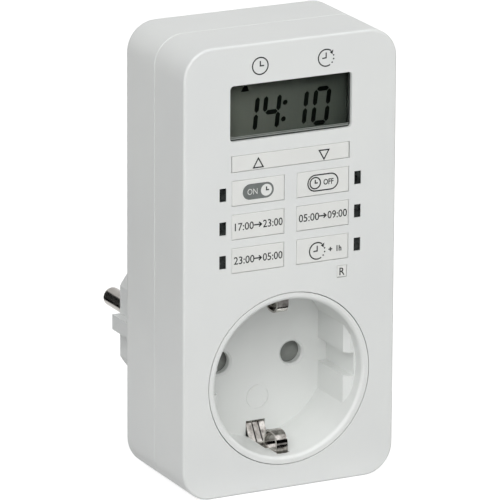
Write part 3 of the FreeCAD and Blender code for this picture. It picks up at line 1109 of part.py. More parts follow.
write("front_cover", [front_cover()])
write("rear_housing", [rear_housing()])
write("plug_body", [plug_body()])
write("socket_insert", [socket_insert()])
clip = earth_clip()
write("earth_clip_lower", [clip])
write("earth_clip_upper", [mirror_z(clip)])
strip = plug_earth_strip()
write("plug_earth_strip_lower", [strip])
write("plug_earth_strip_upper", [mirror_z(strip)])
write("earth_bridge", [earth_bridge()])
write("safety_shutter", [safety_shutter()])
write("shutter_spring", [shutter_spring()])
write("contact_carrier", [contact_carrier()])
write("live_contact", [socket_contact(-1)])
write("neutral_contact", [socket_contact(1)])
write("live_pin", [plug_pin(-1)])
write("neutral_pin", [plug_pin(1)])
write("pin_carrier", [pin_carrier()])
live_bar, relay_bar, neutral_bar = bus_bars()
write("live_inlet_bar", [live_bar])
write("switched_live_bar", [relay_bar])
write("neutral_bar", [neutral_bar])

write("lcd_window", [lcd_window()])
write("lcd_panel", [lcd_panel()])
write("lcd_frame", [lcd_frame()])
write("lcd_connectors", lcd_connectors())
key_names = (("on_key", "off_key"), ("evening_key", "morning_key"), ("night_key", "hour_key"))
for bottom, names in zip(KEY_ROWS, key_names):
    top = bottom + KEY_HEIGHT
    write(names[0], [key(-KEY_OUTER_X, -KEY_INNER_X, bottom, top, KEY_MARGIN)])
    write(names[1], [key(KEY_INNER_X, KEY_OUTER_X, bottom, top, KEY_MARGIN)])
write("reset_key", [key(RESET_CENTRE_X - RESET_WIDTH / 2, RESET_CENTRE_X + RESET_WIDTH / 2,
                        RESET_CENTRE_Z - RESET_HEIGHT / 2, RESET_CENTRE_Z + RESET_HEIGHT / 2,
                        KEY_MARGIN / 2)])
write("time_rocker_key", [time_rocker_key()])
write("keypad_mat", [keypad_mat()])
write("contact_pills", contact_pills())
guide = light_guide()
write("light_guide_right", [guide])
write("light_guide_left", [mirror_x(guide)])
write("indicator_leds", indicator_leds())
write("control_board", [control_board()])
write("clock_chip", [block(-CHIP_HALF, CHIP_HALF, CONTROL_BACK_Y, CONTROL_BACK_Y + CHIP_HEIGHT,
                           CHIP_Z - CHIP_HALF, CHIP_Z + CHIP_HALF)])
write("crystal", [crystal()])
write("board_header", [block(-HEADER_HALF_X, HEADER_HALF_X, CONTROL_BACK_Y, POWER_BOARD_Y,
                             HEADER_Z - HEADER_HALF_Z, HEADER_Z + HEADER_HALF_Z)])
write("power_board", [power_board()])
write("relay", [on_board(RELAY_X, PARTS_BOTTOM_Z, RELAY_WIDTH, RELAY_DEPTH, RELAY_HEIGHT)])
write("mains_capacitor", [on_board(FILM_X, PARTS_BOTTOM_Z, FILM_WIDTH, FILM_DEPTH, FILM_HEIGHT)])
write("bulk_capacitor", [can(BULK_X, PARTS_BOTTOM_Z + BULK_R, BULK_R, BULK_HEIGHT)])
write("backup_battery", [can(BATTERY_X, BATTERY_Z, BATTERY_R, BATTERY_HEIGHT)])
write("fuse_resistor", [fuse_resistor()])
write("diodes", [diode(DIODE_X + i * DIODE_PITCH) for i in range(DIODES)])
write("case_screws", [screw(x, z, CASE_SCREW_SEAT_Y, CASE_SCREW_LENGTH, SCREW_R, CASE_HEAD_R,
                            CASE_HEAD) for x, z in CASE_SCREWS])
write("insert_screws", [screw(x, z, FLANGE_Y + FLANGE_THICKNESS, INSERT_SCREW_LENGTH, SCREW_R,
                              SCREW_HEAD_R, SCREW_HEAD) for x, z in INSERT_SCREWS])
write("control_board_screws", [screw(x, z, CONTROL_BACK_Y, BOARD_SCREW_LENGTH, SCREW_R,
                                     SCREW_HEAD_R, SCREW_HEAD) for x, z in CONTROL_POSTS])
write("power_board_screws", [screw(x, z, POWER_BOARD_Y, BOARD_SCREW_LENGTH, SCREW_R,
                                   SCREW_HEAD_R, SCREW_HEAD, forward=False) for x, z in POWER_POSTS])
write("carrier_screws", [screw(x, z, CARRIER_BACK_Y, CARRIER_BACK_Y - CARRIER_SCREW_TIP_Y,
                               CARRIER_SCREW_R, CARRIER_HEAD_R, SCREW_HEAD) for x, z in CARRIER_SCREWS])
write("pin_carrier_screw", [screw(0, AXIS_Z, PIN_CARRIER_Y, PIN_CARRIER_THICKNESS + PIN_HEAD, SCREW_R,
                                  SCREW_HEAD_R, SCREW_HEAD, forward=False)])
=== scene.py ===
import bmesh
import bpy
import numpy as np
from mathutils import Matrix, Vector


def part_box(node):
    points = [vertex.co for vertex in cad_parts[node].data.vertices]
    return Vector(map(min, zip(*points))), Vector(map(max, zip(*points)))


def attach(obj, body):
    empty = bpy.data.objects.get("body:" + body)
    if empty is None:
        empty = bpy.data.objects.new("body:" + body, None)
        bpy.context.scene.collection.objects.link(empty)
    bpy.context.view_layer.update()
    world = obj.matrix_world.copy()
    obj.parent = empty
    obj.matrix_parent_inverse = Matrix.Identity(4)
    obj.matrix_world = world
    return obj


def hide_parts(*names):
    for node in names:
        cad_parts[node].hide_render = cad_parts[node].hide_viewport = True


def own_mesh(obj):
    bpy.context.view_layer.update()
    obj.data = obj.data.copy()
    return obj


# A plug-in timer dressed for the camera: finishes for every moulded, pressed and turned piece,
# the printed legends, the figures of the display, and the studio.
# Metres, X to the right, Y from the front face to the pins, Z up.

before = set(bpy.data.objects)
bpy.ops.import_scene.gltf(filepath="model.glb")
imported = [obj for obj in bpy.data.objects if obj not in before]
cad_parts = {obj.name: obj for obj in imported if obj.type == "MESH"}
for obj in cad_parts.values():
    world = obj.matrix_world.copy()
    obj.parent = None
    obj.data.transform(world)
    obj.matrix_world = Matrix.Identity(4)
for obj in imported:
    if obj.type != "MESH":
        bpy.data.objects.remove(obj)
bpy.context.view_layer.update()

MM = 0.001
# Thickness of a layer of ink, in metres
INK = 0.02 * MM
# Width of a printed line, in mm
LINE = 0.3


# Finishes

def linear(code):
    """An sRGB colour written as a hex code, turned to linear red, green, blue and alpha."""
    c = np.array([int(code[i:i + 2], 16) for i in (1, 3, 5)]) / 255
    return (*np.where(c <= 0.04045, c / 12.92, ((c + 0.055) / 1.055) ** 2.4), 1.0)


def add(tree, kind, inputs=(), **settings):
    """Adds one node with its settings; inputs gives each socket a value or a link."""
    node = tree.nodes.new(kind)
    for name, value in settings.items():
        setattr(node, name, value)
    for socket, value in dict(inputs).items():
        if isinstance(value, bpy.types.NodeSocket):
            tree.links.new(value, node.inputs[socket])
        else:
            node.inputs[socket].default_value = value
    return node


def started(name, **shader):
    """A material with its surface shader, and the coordinates of the piece that wears it."""
    material = bpy.data.materials.new(name)
    material.use_nodes = True
    tree = material.node_tree
    tree.nodes.clear()
    surface = add(tree, "ShaderNodeBsdfPrincipled", shader)
    output = add(tree, "ShaderNodeOutputMaterial", {"Surface": surface.outputs["BSDF"]})
    place = add(tree, "ShaderNodeTexCoord").outputs["Object"]
    return material, tree, surface, place, output


def tinted(tree, surface, pattern, low, high, start=0.3, stop=0.7):
    """The pattern picks a colour between two, and the surface takes it."""
    ramp = add(tree, "ShaderNodeValToRGB", {"Fac": pattern})
    ramp.color_ramp.elements[0].position = start
    ramp.color_ramp.elements[1].position = stop
    ramp.color_ramp.elements[0].color = linear(low)
    ramp.color_ramp.elements[1].color = linear(high)
    tree.links.new(ramp.outputs["Color"], surface.inputs["Base Color"])


def worn(tree, surface, pattern, rough, relief):
    """The pattern moves the roughness between two values and lifts the surface by relief mm."""
    spread = add(tree, "ShaderNodeMapRange", {"Value": pattern, "To Min": rough[0], "To Max": rough[1]})
    tree.links.new(spread.outputs["Result"], surface.inputs["Roughness"])
    bump = add(tree, "ShaderNodeBump", {"Height": pattern, "Strength": 1.0, "Distance": relief * MM})
    tree.links.new(bump.outputs["Normal"], surface.inputs["Normal"])


def moulded(name, low, high, rough, grain=0.4, relief=0.004, flow=28, **shader):
    """Moulded plastic: a spark-eroded grain of the tool, and a tone that drifts over the part
    by as much as the melt cools unevenly. Grain and flow are the sizes of the two, in mm."""
    material, tree, surface, place, _ = started(name, **shader)
    drift = add(tree, "ShaderNodeTexNoise", {"Vector": place, "Scale": 1 / (flow * MM), "Detail": 2.0})
    skin = add(tree, "ShaderNodeTexNoise", {"Vector": place, "Scale": 1 / (grain * MM), "Detail": 3.0})
    tinted(tree, surface, drift.outputs["Fac"], low, high)
    worn(tree, surface, skin.outputs["Fac"], rough, relief)
    return material


def rolled(name, low, high, rough, along, line=0.12, relief=0.004, patch=3.0, **shader):
    """Sheet or drawn metal: fine lines that run along one axis as the rolls or the die left
    them, and a tone that clouds over a few mm. Line is the spacing of the lines in mm."""
    material, tree, surface, place, _ = started(name, Metallic=1.0, **shader)
    squeeze = [1.0, 1.0, 1.0]
    squeeze[along] = 0.02
    drawn = add(tree, "ShaderNodeMapping", {"Vector": place, "Scale": squeeze})
    lines = add(tree, "ShaderNodeTexNoise",
                {"Vector": drawn.outputs["Vector"], "Scale": 1 / (line * MM), "Detail": 4.0})
    cloud = add(tree, "ShaderNodeTexNoise", {"Vector": place, "Scale": 1 / (patch * MM), "Detail": 3.0})
    tinted(tree, surface, cloud.outputs["Fac"], low, high)
    worn(tree, surface, lines.outputs["Fac"], rough, relief)
    return material


def dress(material, *nodes):
    """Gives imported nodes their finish, through the material slots of their objects."""
    for name in nodes:
        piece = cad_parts[name]
        if not piece.material_slots:
            piece.data.materials.append(material)
        for slot in piece.material_slots:
            slot.material = material


# Case: white ABS from a spark-eroded tool, so it is matt and even, with a soft sheen at the edges
case_abs = moulded("matt_white_abs", "#e2e4e3", "#e6e8e6", (0.40, 0.50), grain=0.5, relief=0.003)
dress(case_abs, "front_cover", "rear_housing", "plug_body")

# Keys: the same ABS from a polished tool, a shade paler and smoother than the case round them
key_abs = moulded("smooth_white_abs", "#e5e6e3", "#e8e9e6", (0.28, 0.36), grain=0.8, relief=0.002, flow=9)
dress(key_abs, "on_key", "off_key", "evening_key", "morning_key", "night_key", "hour_key",
      "reset_key", "time_rocker_key")

# Socket: white glass-filled polyamide, moulded smooth; it shines a little and is slightly cool
socket_white = moulded("glossy_white_polyamide", "#e5e7e5", "#e9ebe9", (0.36, 0.42), grain=1.6,
                       relief=0.0005, flow=14)
dress(socket_white, "socket_insert")

# Shutter: grey nylon, moulded without colour care, seen as the grey bottom of the pin holes
shutter_nylon = moulded("grey_nylon", "#868985", "#929591", (0.35, 0.5), grain=0.6, relief=0.006, flow=4)
dress(shutter_nylon, "safety_shutter")

# Earth clips: bronze strip, rolled and nickel plated; its tone clouds between dark grey and near white as
# painted reflections of busy surroundings
clip_nickel_and_reflections = rolled("nickel_plated_bronze_painted_reflections", "#807b76", "#f2eee9", (0.08, 0.18), along=1,
                     line=0.35, relief=0.004, patch=1.6)
dress(clip_nickel_and_reflections, "earth_clip_lower", "earth_clip_upper")

# Plug earth strips and their bridge: stamped brass under nickel, duller than the clips
strip_nickel = rolled("nickel_plated_brass_strip", "#b3aca0", "#cbc6bc", (0.20, 0.36), along=1, line=0.3)
dress(strip_nickel, "plug_earth_strip_lower", "plug_earth_strip_upper", "earth_bridge")

# Plug pins: brass turned on a lathe and nickel plated, with rings of the tool round each pin
pin_nickel, pin_tree, pin_surface, pin_place, _ = started("turned_nickel_plated_brass", Metallic=1.0)
pin_turning = add(pin_tree, "ShaderNodeMapping", {"Vector": pin_place, "Scale": (0.02, 1.0, 0.02)})
pin_rings = add(pin_tree, "ShaderNodeTexNoise",
                {"Vector": pin_turning.outputs["Vector"], "Scale": 1 / (0.25 * MM), "Detail": 3.0})
pin_cloud = add(pin_tree, "ShaderNodeTexNoise", {"Vector": pin_place, "Scale": 1 / (2.5 * MM)})
tinted(pin_tree, pin_surface, pin_cloud.outputs["Fac"], "#9a9691", "#a6a29d")
worn(pin_tree, pin_surface, pin_rings.outputs["Fac"], (0.10, 0.22), 0.002)
dress(pin_nickel, "live_pin", "neutral_pin")

# Contacts: bare bronze strip, brown-gold and dull from the press
contact_bronze = rolled("bare_bronze_strip", "#a3774c", "#bd9163", (0.25, 0.42), along=1)
dress(contact_bronze, "live_contact", "neutral_contact")

# Bus bars: bare stamped brass, yellow, with lines of the rolls
bar_brass = rolled("bare_brass_strip", "#b8964e", "#d0b06a", (0.22, 0.4), along=2)
dress(bar_brass, "live_inlet_bar", "switched_live_bar", "neutral_bar")

# Spring: drawn spring steel wire, grey, with the lines of the die
spring_wire = rolled("drawn_spring_steel", "#7d7f82", "#9a9c9f", (0.2, 0.35), along=2, line=0.08,
                     relief=0.001)
dress(spring_wire, "shutter_spring")

# Screws: zinc plated steel, cold headed, bright with a slight blue cast and a mottled plating
screw_zinc, screw_tree, screw_surface, screw_place, _ = started("zinc_plated_steel", Metallic=1.0)
screw_spangle = add(screw_tree, "ShaderNodeTexVoronoi", {"Vector": screw_place, "Scale": 1 / (0.4 * MM)})
tinted(screw_tree, screw_surface, screw_spangle.outputs["Distance"], "#a9adb3", "#c6cacf", 0.1, 0.8)
worn(screw_tree, screw_surface, screw_spangle.outputs["Distance"], (0.22, 0.4), 0.003)
dress(screw_zinc, "case_screws", "insert_screws", "control_board_screws", "power_board_screws",
      "carrier_screws", "pin_carrier_screw")

# Window: clear acrylic with a light smoke tint, moulded and polished, so it reflects sharply
window_acrylic, window_tree, window_surface, window_place, _ = started(
    "smoke_tinted_acrylic", **{"Transmission Weight": 1.0, "IOR": 1.49})
window_flow = add(window_tree, "ShaderNodeTexNoise",
                  {"Vector": window_place, "Scale": 1 / (11 * MM), "Detail": 1.0})
tinted(window_tree, window_surface, window_flow.outputs["Fac"], "#d9dcd8", "#dee1de")
worn(window_tree, window_surface, window_flow.outputs["Fac"], (0.01, 0.03), 0.004)
dress(window_acrylic, "lcd_window")

# Display: laminated glass under a polariser, a dull grey green, with painted shade that darkens it
# towards the right edge
panel_glass, panel_tree, panel_surface, panel_place, _ = started(
    "polarised_display_glass", **{"IOR": 1.5, "Specular IOR Level": 0.15})
panel_across = add(panel_tree, "ShaderNodeSeparateXYZ", {"Vector": panel_place})
# Painted shade: the colour goes from pale grey green at the left to a darker grey green at the right edge
panel_painted_shade = add(panel_tree, "ShaderNodeMapRange",
                  {"Value": panel_across.outputs["X"], "From Min": -16 * MM, "From Max": 16 * MM})
tinted(panel_tree, panel_surface, panel_painted_shade.outputs["Result"], "#c8cbc2", "#868d86", 0.0, 1.0)
panel_film = add(panel_tree, "ShaderNodeTexNoise", {"Vector": panel_place, "Scale": 1 / (0.3 * MM)})
worn(panel_tree, panel_surface, panel_film.outputs["Fac"], (0.30, 0.42), 0.001)
dress(panel_glass, "lcd_panel")

# Step of the window: pale grey painted light standing in for the lit step seen through the clear edge,
# satin and a little cloudy
lit_step_paint = moulded("painted_light_of_lens_step", "#7f837f", "#888d88", (0.35, 0.5), grain=0.2,
                    relief=0.001, flow=3)

# Display frame: grey ABS, moulded; it holds the glass and its shade shows round the window
frame_abs = moulded("grey_abs", "#5b5f5c", "#666a67", (0.4, 0.55), grain=0.5)
dress(frame_abs, "lcd_frame")

# Display connectors: layers of black and pink silicone, each 0.1 mm; drawn 0.4 mm to show
strip_silicone, strip_tree, strip_surface, strip_place, _ = started("layered_silicone")
strip_layers = add(strip_tree, "ShaderNodeTexWave",
                   {"Vector": strip_place, "Scale": 1 / (0.4 * MM) / 20}, bands_direction="X")
tinted(strip_tree, strip_surface, strip_layers.outputs["Color"], "#2a2826", "#c9a09a", 0.4, 0.6)
worn(strip_tree, strip_surface, strip_layers.outputs["Color"], (0.5, 0.6), 0.004)
dress(strip_silicone, "lcd_connectors")

# Light guides: smoked acrylic, polished; almost black from outside, with a clean reflection, and paler
# grey patches over it as painted highlights
guide_acrylic_and_glints = moulded("smoked_acrylic", "#0b0c0d", "#3c3f3e", (0.06, 0.12), grain=1.2, relief=0.002,
                        flow=1.1, **{"IOR": 1.49, "Specular IOR Level": 0.25})
dress(guide_acrylic_and_glints, "light_guide_left", "light_guide_right")

# Lamps: clear epoxy over a chip, moulded; water-white and glossy
lamp_resin = moulded("clear_epoxy_lamp", "#e9ecd8", "#f3f5e8", (0.1, 0.2), grain=0.3, flow=0.8, IOR=1.54)
dress(lamp_resin, "indicator_leds")

# Inner frames: black glass-filled polyamide, moulded; the fibres show as pale flecks
inner_pa = moulded("black_glass_filled_polyamide", "#232425", "#3a3b3d", (0.35, 0.6), grain=0.3,
                   relief=0.01, flow=0.5)
dress(inner_pa, "contact_carrier", "pin_carrier")

# Keypad mat: grey silicone rubber, pressed; soft and matt
mat_silicone = moulded("grey_silicone_rubber", "#9b9c9a", "#a8a9a6", (0.6, 0.75), grain=0.5, flow=7,
                       **{"Sheen Weight": 0.15})
dress(mat_silicone, "keypad_mat")

# Contact pills: carbon-filled rubber, punched; dead black
pill_carbon = moulded("carbon_rubber", "#161616", "#202020", (0.75, 0.9), grain=0.2, flow=1)
dress(pill_carbon, "contact_pills")

# Boards: glass-cloth laminate under green resist; the weave shows at 0.5 mm
board_laminate, board_tree, board_surface, board_place, _ = started("green_glass_laminate", IOR=1.55)
board_warp = add(board_tree, "ShaderNodeTexWave",
                 {"Vector": board_place, "Scale": 1 / (0.5 * MM) / 20}, bands_direction="X")
board_weft = add(board_tree, "ShaderNodeTexWave",
                 {"Vector": board_place, "Scale": 1 / (0.5 * MM) / 20}, bands_direction="Z")
board_weave = add(board_tree, "ShaderNodeMath",
                  {0: board_warp.outputs["Color"], 1: board_weft.outputs["Color"]}, operation="MULTIPLY")
tinted(board_tree, board_surface, board_weave.outputs["Value"], "#1f5b33", "#2f7a48", 0.0, 1.0)
worn(board_tree, board_surface, board_weave.outputs["Value"], (0.25, 0.4), 0.006)
dress(board_laminate, "control_board", "power_board")

# Clock chip and diodes: black moulding epoxy, with a fine pitted skin
chip_epoxy = moulded("black_moulding_epoxy", "#1c1d1e", "#2a2b2c", (0.45, 0.6), grain=0.15,
                     relief=0.006, flow=0.8)
dress(chip_epoxy, "clock_chip", "diodes")

# Crystal: drawn steel can, nickel bright, with the lines of the draw
crystal_can = rolled("drawn_steel_can", "#b9bbbd", "#cdcfd1", (0.12, 0.25), along=0)
dress(crystal_can, "crystal")

# Board header: black nylon, moulded smooth
header_nylon = moulded("black_nylon", "#1a1b1c", "#262728", (0.3, 0.4), grain=0.5, flow=2)
dress(header_nylon, "board_header")

# Relay: blue PBT case, moulded with a light sheen
relay_pbt = moulded("blue_pbt", "#2c5c9a", "#3468a8", (0.25, 0.38), grain=0.5, flow=6)
dress(relay_pbt, "relay")

# Mains capacitor: yellow potted box of PBT, slightly glossy
film_box = moulded("yellow_pbt_box", "#d9a92b", "#e2b640", (0.25, 0.36), grain=0.6, flow=5)
dress(film_box, "mains_capacitor")

# Bulk capacitor: shrunk black PVC sleeve, glossy over the can
can_sleeve = moulded("black_pvc_sleeve", "#22262e", "#2e333d", (0.18, 0.28), grain=1.5,
                     relief=0.01, flow=4)
dress(can_sleeve, "bulk_capacitor")

# Backup battery: green PVC sleeve over cells, glossy with small wrinkles
battery_sleeve = moulded("green_pvc_sleeve", "#3c7a4a", "#4a8c58", (0.2, 0.3), grain=1.5,
                         relief=0.015, flow=4)
dress(battery_sleeve, "backup_battery")

# Fuse resistor: grey cement coating, sandy and matt
resistor_cement = moulded("grey_cement_coating", "#8f918c", "#a3a49f", (0.7, 0.85), grain=0.25,
                          relief=0.02, flow=1)
dress(resistor_cement, "fuse_resistor")

# Legends: dark grey pad-printing ink, a thin satin film that is a little uneven
dark_ink = moulded("dark_grey_pad_ink", "#1b1e1d", "#262928", (0.45, 0.6), grain=0.3, relief=0.001,
                   flow=1.5)
# The filled ON mark: mid grey ink of the same kind
grey_ink = moulded("mid_grey_pad_ink", "#6e7371", "#787d7b", (0.45, 0.6), grain=0.3, relief=0.001, flow=2)
# Lettering and clock face on the filled mark: white ink over the grey
white_ink = moulded("white_pad_ink", "#e4e5e2", "#eaebe8", (0.4, 0.55), grain=0.3, relief=0.001, flow=2)
# Figures of the display: liquid crystal that blocks the light, near black behind the film
dark_crystal = moulded("dark_liquid_crystal", "#1a1f1b", "#242a26", (0.4, 0.5), grain=0.3,
                       relief=0.0, flow=3, **{"Specular IOR Level": 0.1})


# Printed marks. A mark is an array of points (across, up, height over the print) in mm, with its
# faces.

def stroke(path, width, closed=False):
    """A printed line: each point of the path goes half the width to both sides, along the
    mitre of the two directions that meet there, as a band with front, back and edges."""
    path = np.asarray(path, float)
    step = np.roll(path, -1, 0) - path
    if not closed:
        step[-1] = step[-2]
    step /= np.linalg.norm(step, axis=1, keepdims=True)
    before = np.roll(step, 1, 0)
    if not closed:
        before[0] = step[0]
    mitre = (step + before) / (1 + (step * before).sum(1))[:, None]
    side = np.stack([-mitre[:, 1], mitre[:, 0]], 1) * width / 2
    n = len(path)
    rings = np.zeros((n, 4, 3))
    rings[:, :, :2] = np.stack([path + side, path - side, path - side, path + side], 1)
    rings[:, 2:, 2] = 1.0
    i, j = np.meshgrid(np.arange(n if closed else n - 1), np.arange(4), indexing="ij")
    k, m = (i + 1) % n, (j + 1) % 4
    faces = np.stack([i * 4 + j, i * 4 + m, k * 4 + m, k * 4 + j], -1).reshape(-1, 4).tolist()
    if not closed:
        faces += [[3, 2, 1, 0], [4 * n - 4, 4 * n - 3, 4 * n - 2, 4 * n - 1]]
    return rings.reshape(-1, 3), faces


def filled(outline):
    """A printed area: its outline, run anticlockwise, as a front, a back and an edge all round."""
    outline = np.asarray(outline, float)
    n = len(outline)
    points = np.zeros((2 * n, 3))
    points[:, :2] = np.concatenate([outline, outline])
    points[n:, 2] = 1.0
    i = np.arange(n)
    k = (i + 1) % n
    edge = np.stack([i, k, k + n, i + n], 1).tolist()
    return points, [i[::-1].tolist(), (i + n).tolist()] + edge


def lettering(text, height, narrow=1.0, weight=0.0):
    """Plain sans lettering of the given capital height, narrowed across, centred on its middle."""
    curve = bpy.data.curves.new(text, "FONT")
    curve.body = text
    curve.align_x = "CENTER"
    curve.resolution_u = 3
    curve.extrude = 0.5
    curve.offset = weight
    carrier = bpy.data.objects.new(text, curve)
    bpy.context.scene.collection.objects.link(carrier)
    bpy.context.view_layer.update()
    mesh = bpy.data.meshes.new_from_object(carrier.evaluated_get(bpy.context.evaluated_depsgraph_get()))
    bpy.data.objects.remove(carrier)
    shape = bmesh.new()
    shape.from_mesh(mesh)
    bmesh.ops.remove_doubles(shape, verts=shape.verts, dist=1e-5)
    bmesh.ops.recalc_face_normals(shape, faces=shape.faces)
    points = np.array([v.co for v in shape.verts])
    faces = [[v.index for v in f.verts] for f in shape.faces]
    shape.free()
    low, high = points.min(0), points.max(0)
    scale = height / (high[1] - low[1])
    points[:, 0] = (points[:, 0] - (low[0] + high[0]) / 2) * scale * narrow
    points[:, 1] = (points[:, 1] - (low[1] + high[1]) / 2) * scale
    points[:, 2] = points[:, 2] + 0.5
    return points, faces


def moved(mark, across, up, over=0.0):
    """The mark at another place, or over another layer of ink."""
    points, faces = mark
    return points + (across, up, over), faces


def circle(radius, start=0.0, stop=360.0, count=48):
    """Points on a circle, from start to stop in degrees, anticlockwise from the right."""
    turn = np.radians(np.linspace(start, stop, count, endpoint=stop - start < 360))
    return radius * np.stack([np.cos(turn), np.sin(turn)], 1)


def pill(half_length, radius):
    """The outline of a bar with half round ends."""
    right = circle(radius, -90, 90, 24) + (half_length - radius, 0)
    left = circle(radius, 90, 270, 24) - (half_length - radius, 0)
    return np.concatenate([right, left])


def clock_mark(radius, line):
    """A clock face at three o'clock: a closed ring with two hands."""
    return [stroke(circle(radius), line, closed=True),
            stroke([(0, 0.58 * radius), (0, 0), (0.48 * radius, 0)], line)]


def countdown_mark(radius, line):
    """A clock at nine o'clock whose ring is drawn from the top right round the left, ends in an
    arrow head, and goes on as three dots."""
    dots = [moved(filled(circle(0.65 * line, count=12)), *at)
            for at in circle(radius, -38, 14, 3)]
    head = np.array([(-0.30, -0.02), (0.05, -0.32), (0.16, 0.24)]) * radius
    return [stroke(circle(radius, 52, 302, 36), line),
            stroke([(0, 0.62 * radius), (0, 0), (-0.5 * radius, -0.04 * radius)], line),
            moved(filled(head), *circle(radius, 40, 41, 2)[0]), *dots]


def arrow_mark(length, line):
    """An arrow to the right: a shaft and an open head."""
    back, tip, wide = 0.18 * length, length / 2, 0.3 * length
    return [stroke([(-tip, 0), (tip - 0.1, 0)], line),
            stroke([(back, wide), (tip, 0), (back, -wide)], line)]


def laid(name, marks, at, face, body, material, layer=INK):
    """Marks as one piece on a flat front: across and up go to X and Z, and the height of the
    ink goes out of the face towards the viewer."""
    first = np.cumsum([0] + [len(points) for points, _ in marks])
    points = np.concatenate([points for points, _ in marks])
    faces = [[i + start for i in face] for (_, faces), start in zip(marks, first) for face in faces]
    place = np.stack([at[0] * MM + points[:, 0] * MM, face - points[:, 2] * layer,
                      at[1] * MM + points[:, 1] * MM], 1)
    mesh = bpy.data.meshes.new(name)
    mesh.from_pydata(place.tolist(), [], faces)
    mesh.materials.append(material)
    piece = bpy.data.objects.new(name, mesh)
    bpy.context.scene.collection.objects.link(piece)
    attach(piece, body)
    return piece


def middle(node):
    """The middle of a node's front in mm, and the depth of that front in metres."""
    low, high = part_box(node)
    return ((low.x + high.x) / 2 / MM, (low.z + high.z) / 2 / MM), low.y


case_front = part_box("front_cover")[0].y

# Two small clock marks over the window: time of day and countdown
ICON_R = 2.0
ICON_Z = 103.35
laid("clock_icon", clock_mark(ICON_R, LINE), (-8.05, ICON_Z), case_front, "case", dark_ink)
laid("countdown_icon", countdown_mark(ICON_R, LINE), (8.92, ICON_Z), case_front, "case", dark_ink)

# Rocker: an open triangle at each end, up and down
ROCKER_MARK_DOWN = 0.35
rocker_at, rocker_front = middle("time_rocker_key")
triangle = np.array([(-1.25, -1.05), (1.25, -1.05), (0, 1.15)])
for name, corners, across in (("up_mark", triangle, -8.4), ("down_mark", triangle[::-1] * (1, -1), 8.6)):
    laid(name, [stroke(corners, LINE, closed=True)], (across, rocker_at[1] - ROCKER_MARK_DOWN),
         rocker_front, "time_rocker_key_body", dark_ink)

# ON: white letters and a white clock face on a filled bar
WORD_HEIGHT = 1.4
ON_CLOCK_X = 2.1
on_at, on_front = middle("on_key")
laid("on_mark_bar", [filled(pill(4.0, 1.88))], on_at, on_front, "on_key_body", grey_ink)
laid("on_mark_letters", [moved(lettering("ON", WORD_HEIGHT, 0.85, -0.008), -1.5, 0, 1),
                         moved(filled(circle(1.42)), ON_CLOCK_X, 0, 1)],
     on_at, on_front, "on_key_body", white_ink)
laid("on_mark_hands", [moved(stroke([(0, 0.8), (0, 0), (0.65, 0)], LINE), ON_CLOCK_X, 0, 2)],
     on_at, on_front, "on_key_body", dark_ink)

# OFF: the same bar in outline, with its clock to the left
off_at, off_front = middle("off_key")
laid("off_mark", [stroke(pill(3.9, 1.9), LINE, closed=True),
                  *(moved(m, -2.0, 0) for m in clock_mark(1.35, LINE)),
                  moved(lettering("OFF", WORD_HEIGHT, 0.8, 0.02), 1.45, 0)],
     off_at, off_front, "off_key_body", dark_ink)

HOURS_HEIGHT = 1.85
HOURS_WEIGHT = 0.006


def hours_mark(start, stop):
    """A stretch of hours: its start, an arrow and its end."""
    return [moved(lettering(start, HOURS_HEIGHT, 0.94, HOURS_WEIGHT), -3.56, 0),
            moved(lettering(stop, HOURS_HEIGHT, 0.9, HOURS_WEIGHT), 3.82, 0),
            *(moved(m, -0.08, 0) for m in arrow_mark(1.9, LINE))]


for key, start, stop in (("evening", "17:00", "23:00"), ("morning", "05:00", "09:00"),
                         ("night", "23:00", "05:00")):
    key_at, key_front = middle(key + "_key")
    laid(key + "_mark", hours_mark(start, stop), key_at, key_front, key + "_key_body", dark_ink)

# One hour more: the countdown clock and its figure
HOUR_MARK_UP = -0.3
hour_at, hour_front = middle("hour_key")
plus = [stroke([(-0.5, 0), (0.5, 0)], LINE), stroke([(0, 0.5), (0, 0.12)], LINE),
        stroke([(0, -0.12), (0, -0.5)], LINE)]
laid("hour_mark", [*(moved(m, -1.35, HOUR_MARK_UP) for m in countdown_mark(ICON_R, LINE)),
                   *(moved(m, 2.1, HOUR_MARK_UP) for m in plus),
                   moved(lettering("1h", WORD_HEIGHT, 0.85, 0.03), 4.35, HOUR_MARK_UP)],
     hour_at, hour_front, "hour_key_body", dark_ink)

# Reset
reset_at, reset_front = middle("reset_key")
laid("reset_mark", [lettering("R", 1.8, 0.93, 0.01)], reset_at, reset_front, "reset_key_body",
     dark_ink)


# Window and display, in mm: the figures, the dark line round the glass, and the painted light on its step

FIGURE_HEIGHT = 8.1
FIGURE_BAR = 1.1
FIGURE_GAP = 0.14
# How far a figure leans to the right for each mm that it rises
FIGURE_LEAN = 0.11
# Where the feet of the figures stand over the lower edge of the glass
FIGURE_FOOT = 2.07
COLON_R = 0.6
COLON_X = -0.75
# The flange of the window that the cover hides, and the dark line drawn inside it
LENS_FLANGE = 1.08
LENS_CORNER = 0.6
BORDER = 0.28
# The two bands of painted light on the step, over the line
STEP_BANDS = ((0.02, 0.32), (0.44, 0.62))


def bar_figure(x, z, across, up):
    """One bar of a figure: a bar with pointed ends, as points along it and across it."""
    along = np.array([across, up], float)
    length = np.linalg.norm(along)
    along /= length
    over = np.array([-along[1], along[0]])
    point = 0.5 * FIGURE_BAR
    ends = np.array([(0, 0), (point, -point), (length - point, -point), (length, 0),
                     (length - point, point), (point, point)])
    return filled((x, z) + ends[:, :1] * along + ends[:, 1:] * over)


def figure(bars, x, width):
    """A seven-bar figure that stands on z = 0: the letters a to g name its lit bars."""
    half, gap = FIGURE_HEIGHT / 2, FIGURE_GAP
    ways = {"a": (gap, 2 * half, width - 2 * gap, 0), "g": (gap, half, width - 2 * gap, 0),
            "d": (gap, 0, width - 2 * gap, 0), "f": (0, half + gap, 0, half - 2 * gap),
            "b": (width, half + gap, 0, half - 2 * gap), "e": (0, gap, 0, half - 2 * gap),
            "c": (width, gap, 0, half - 2 * gap)}
    return [bar_figure(x + ways[b][0], *ways[b][1:]) for b in bars]


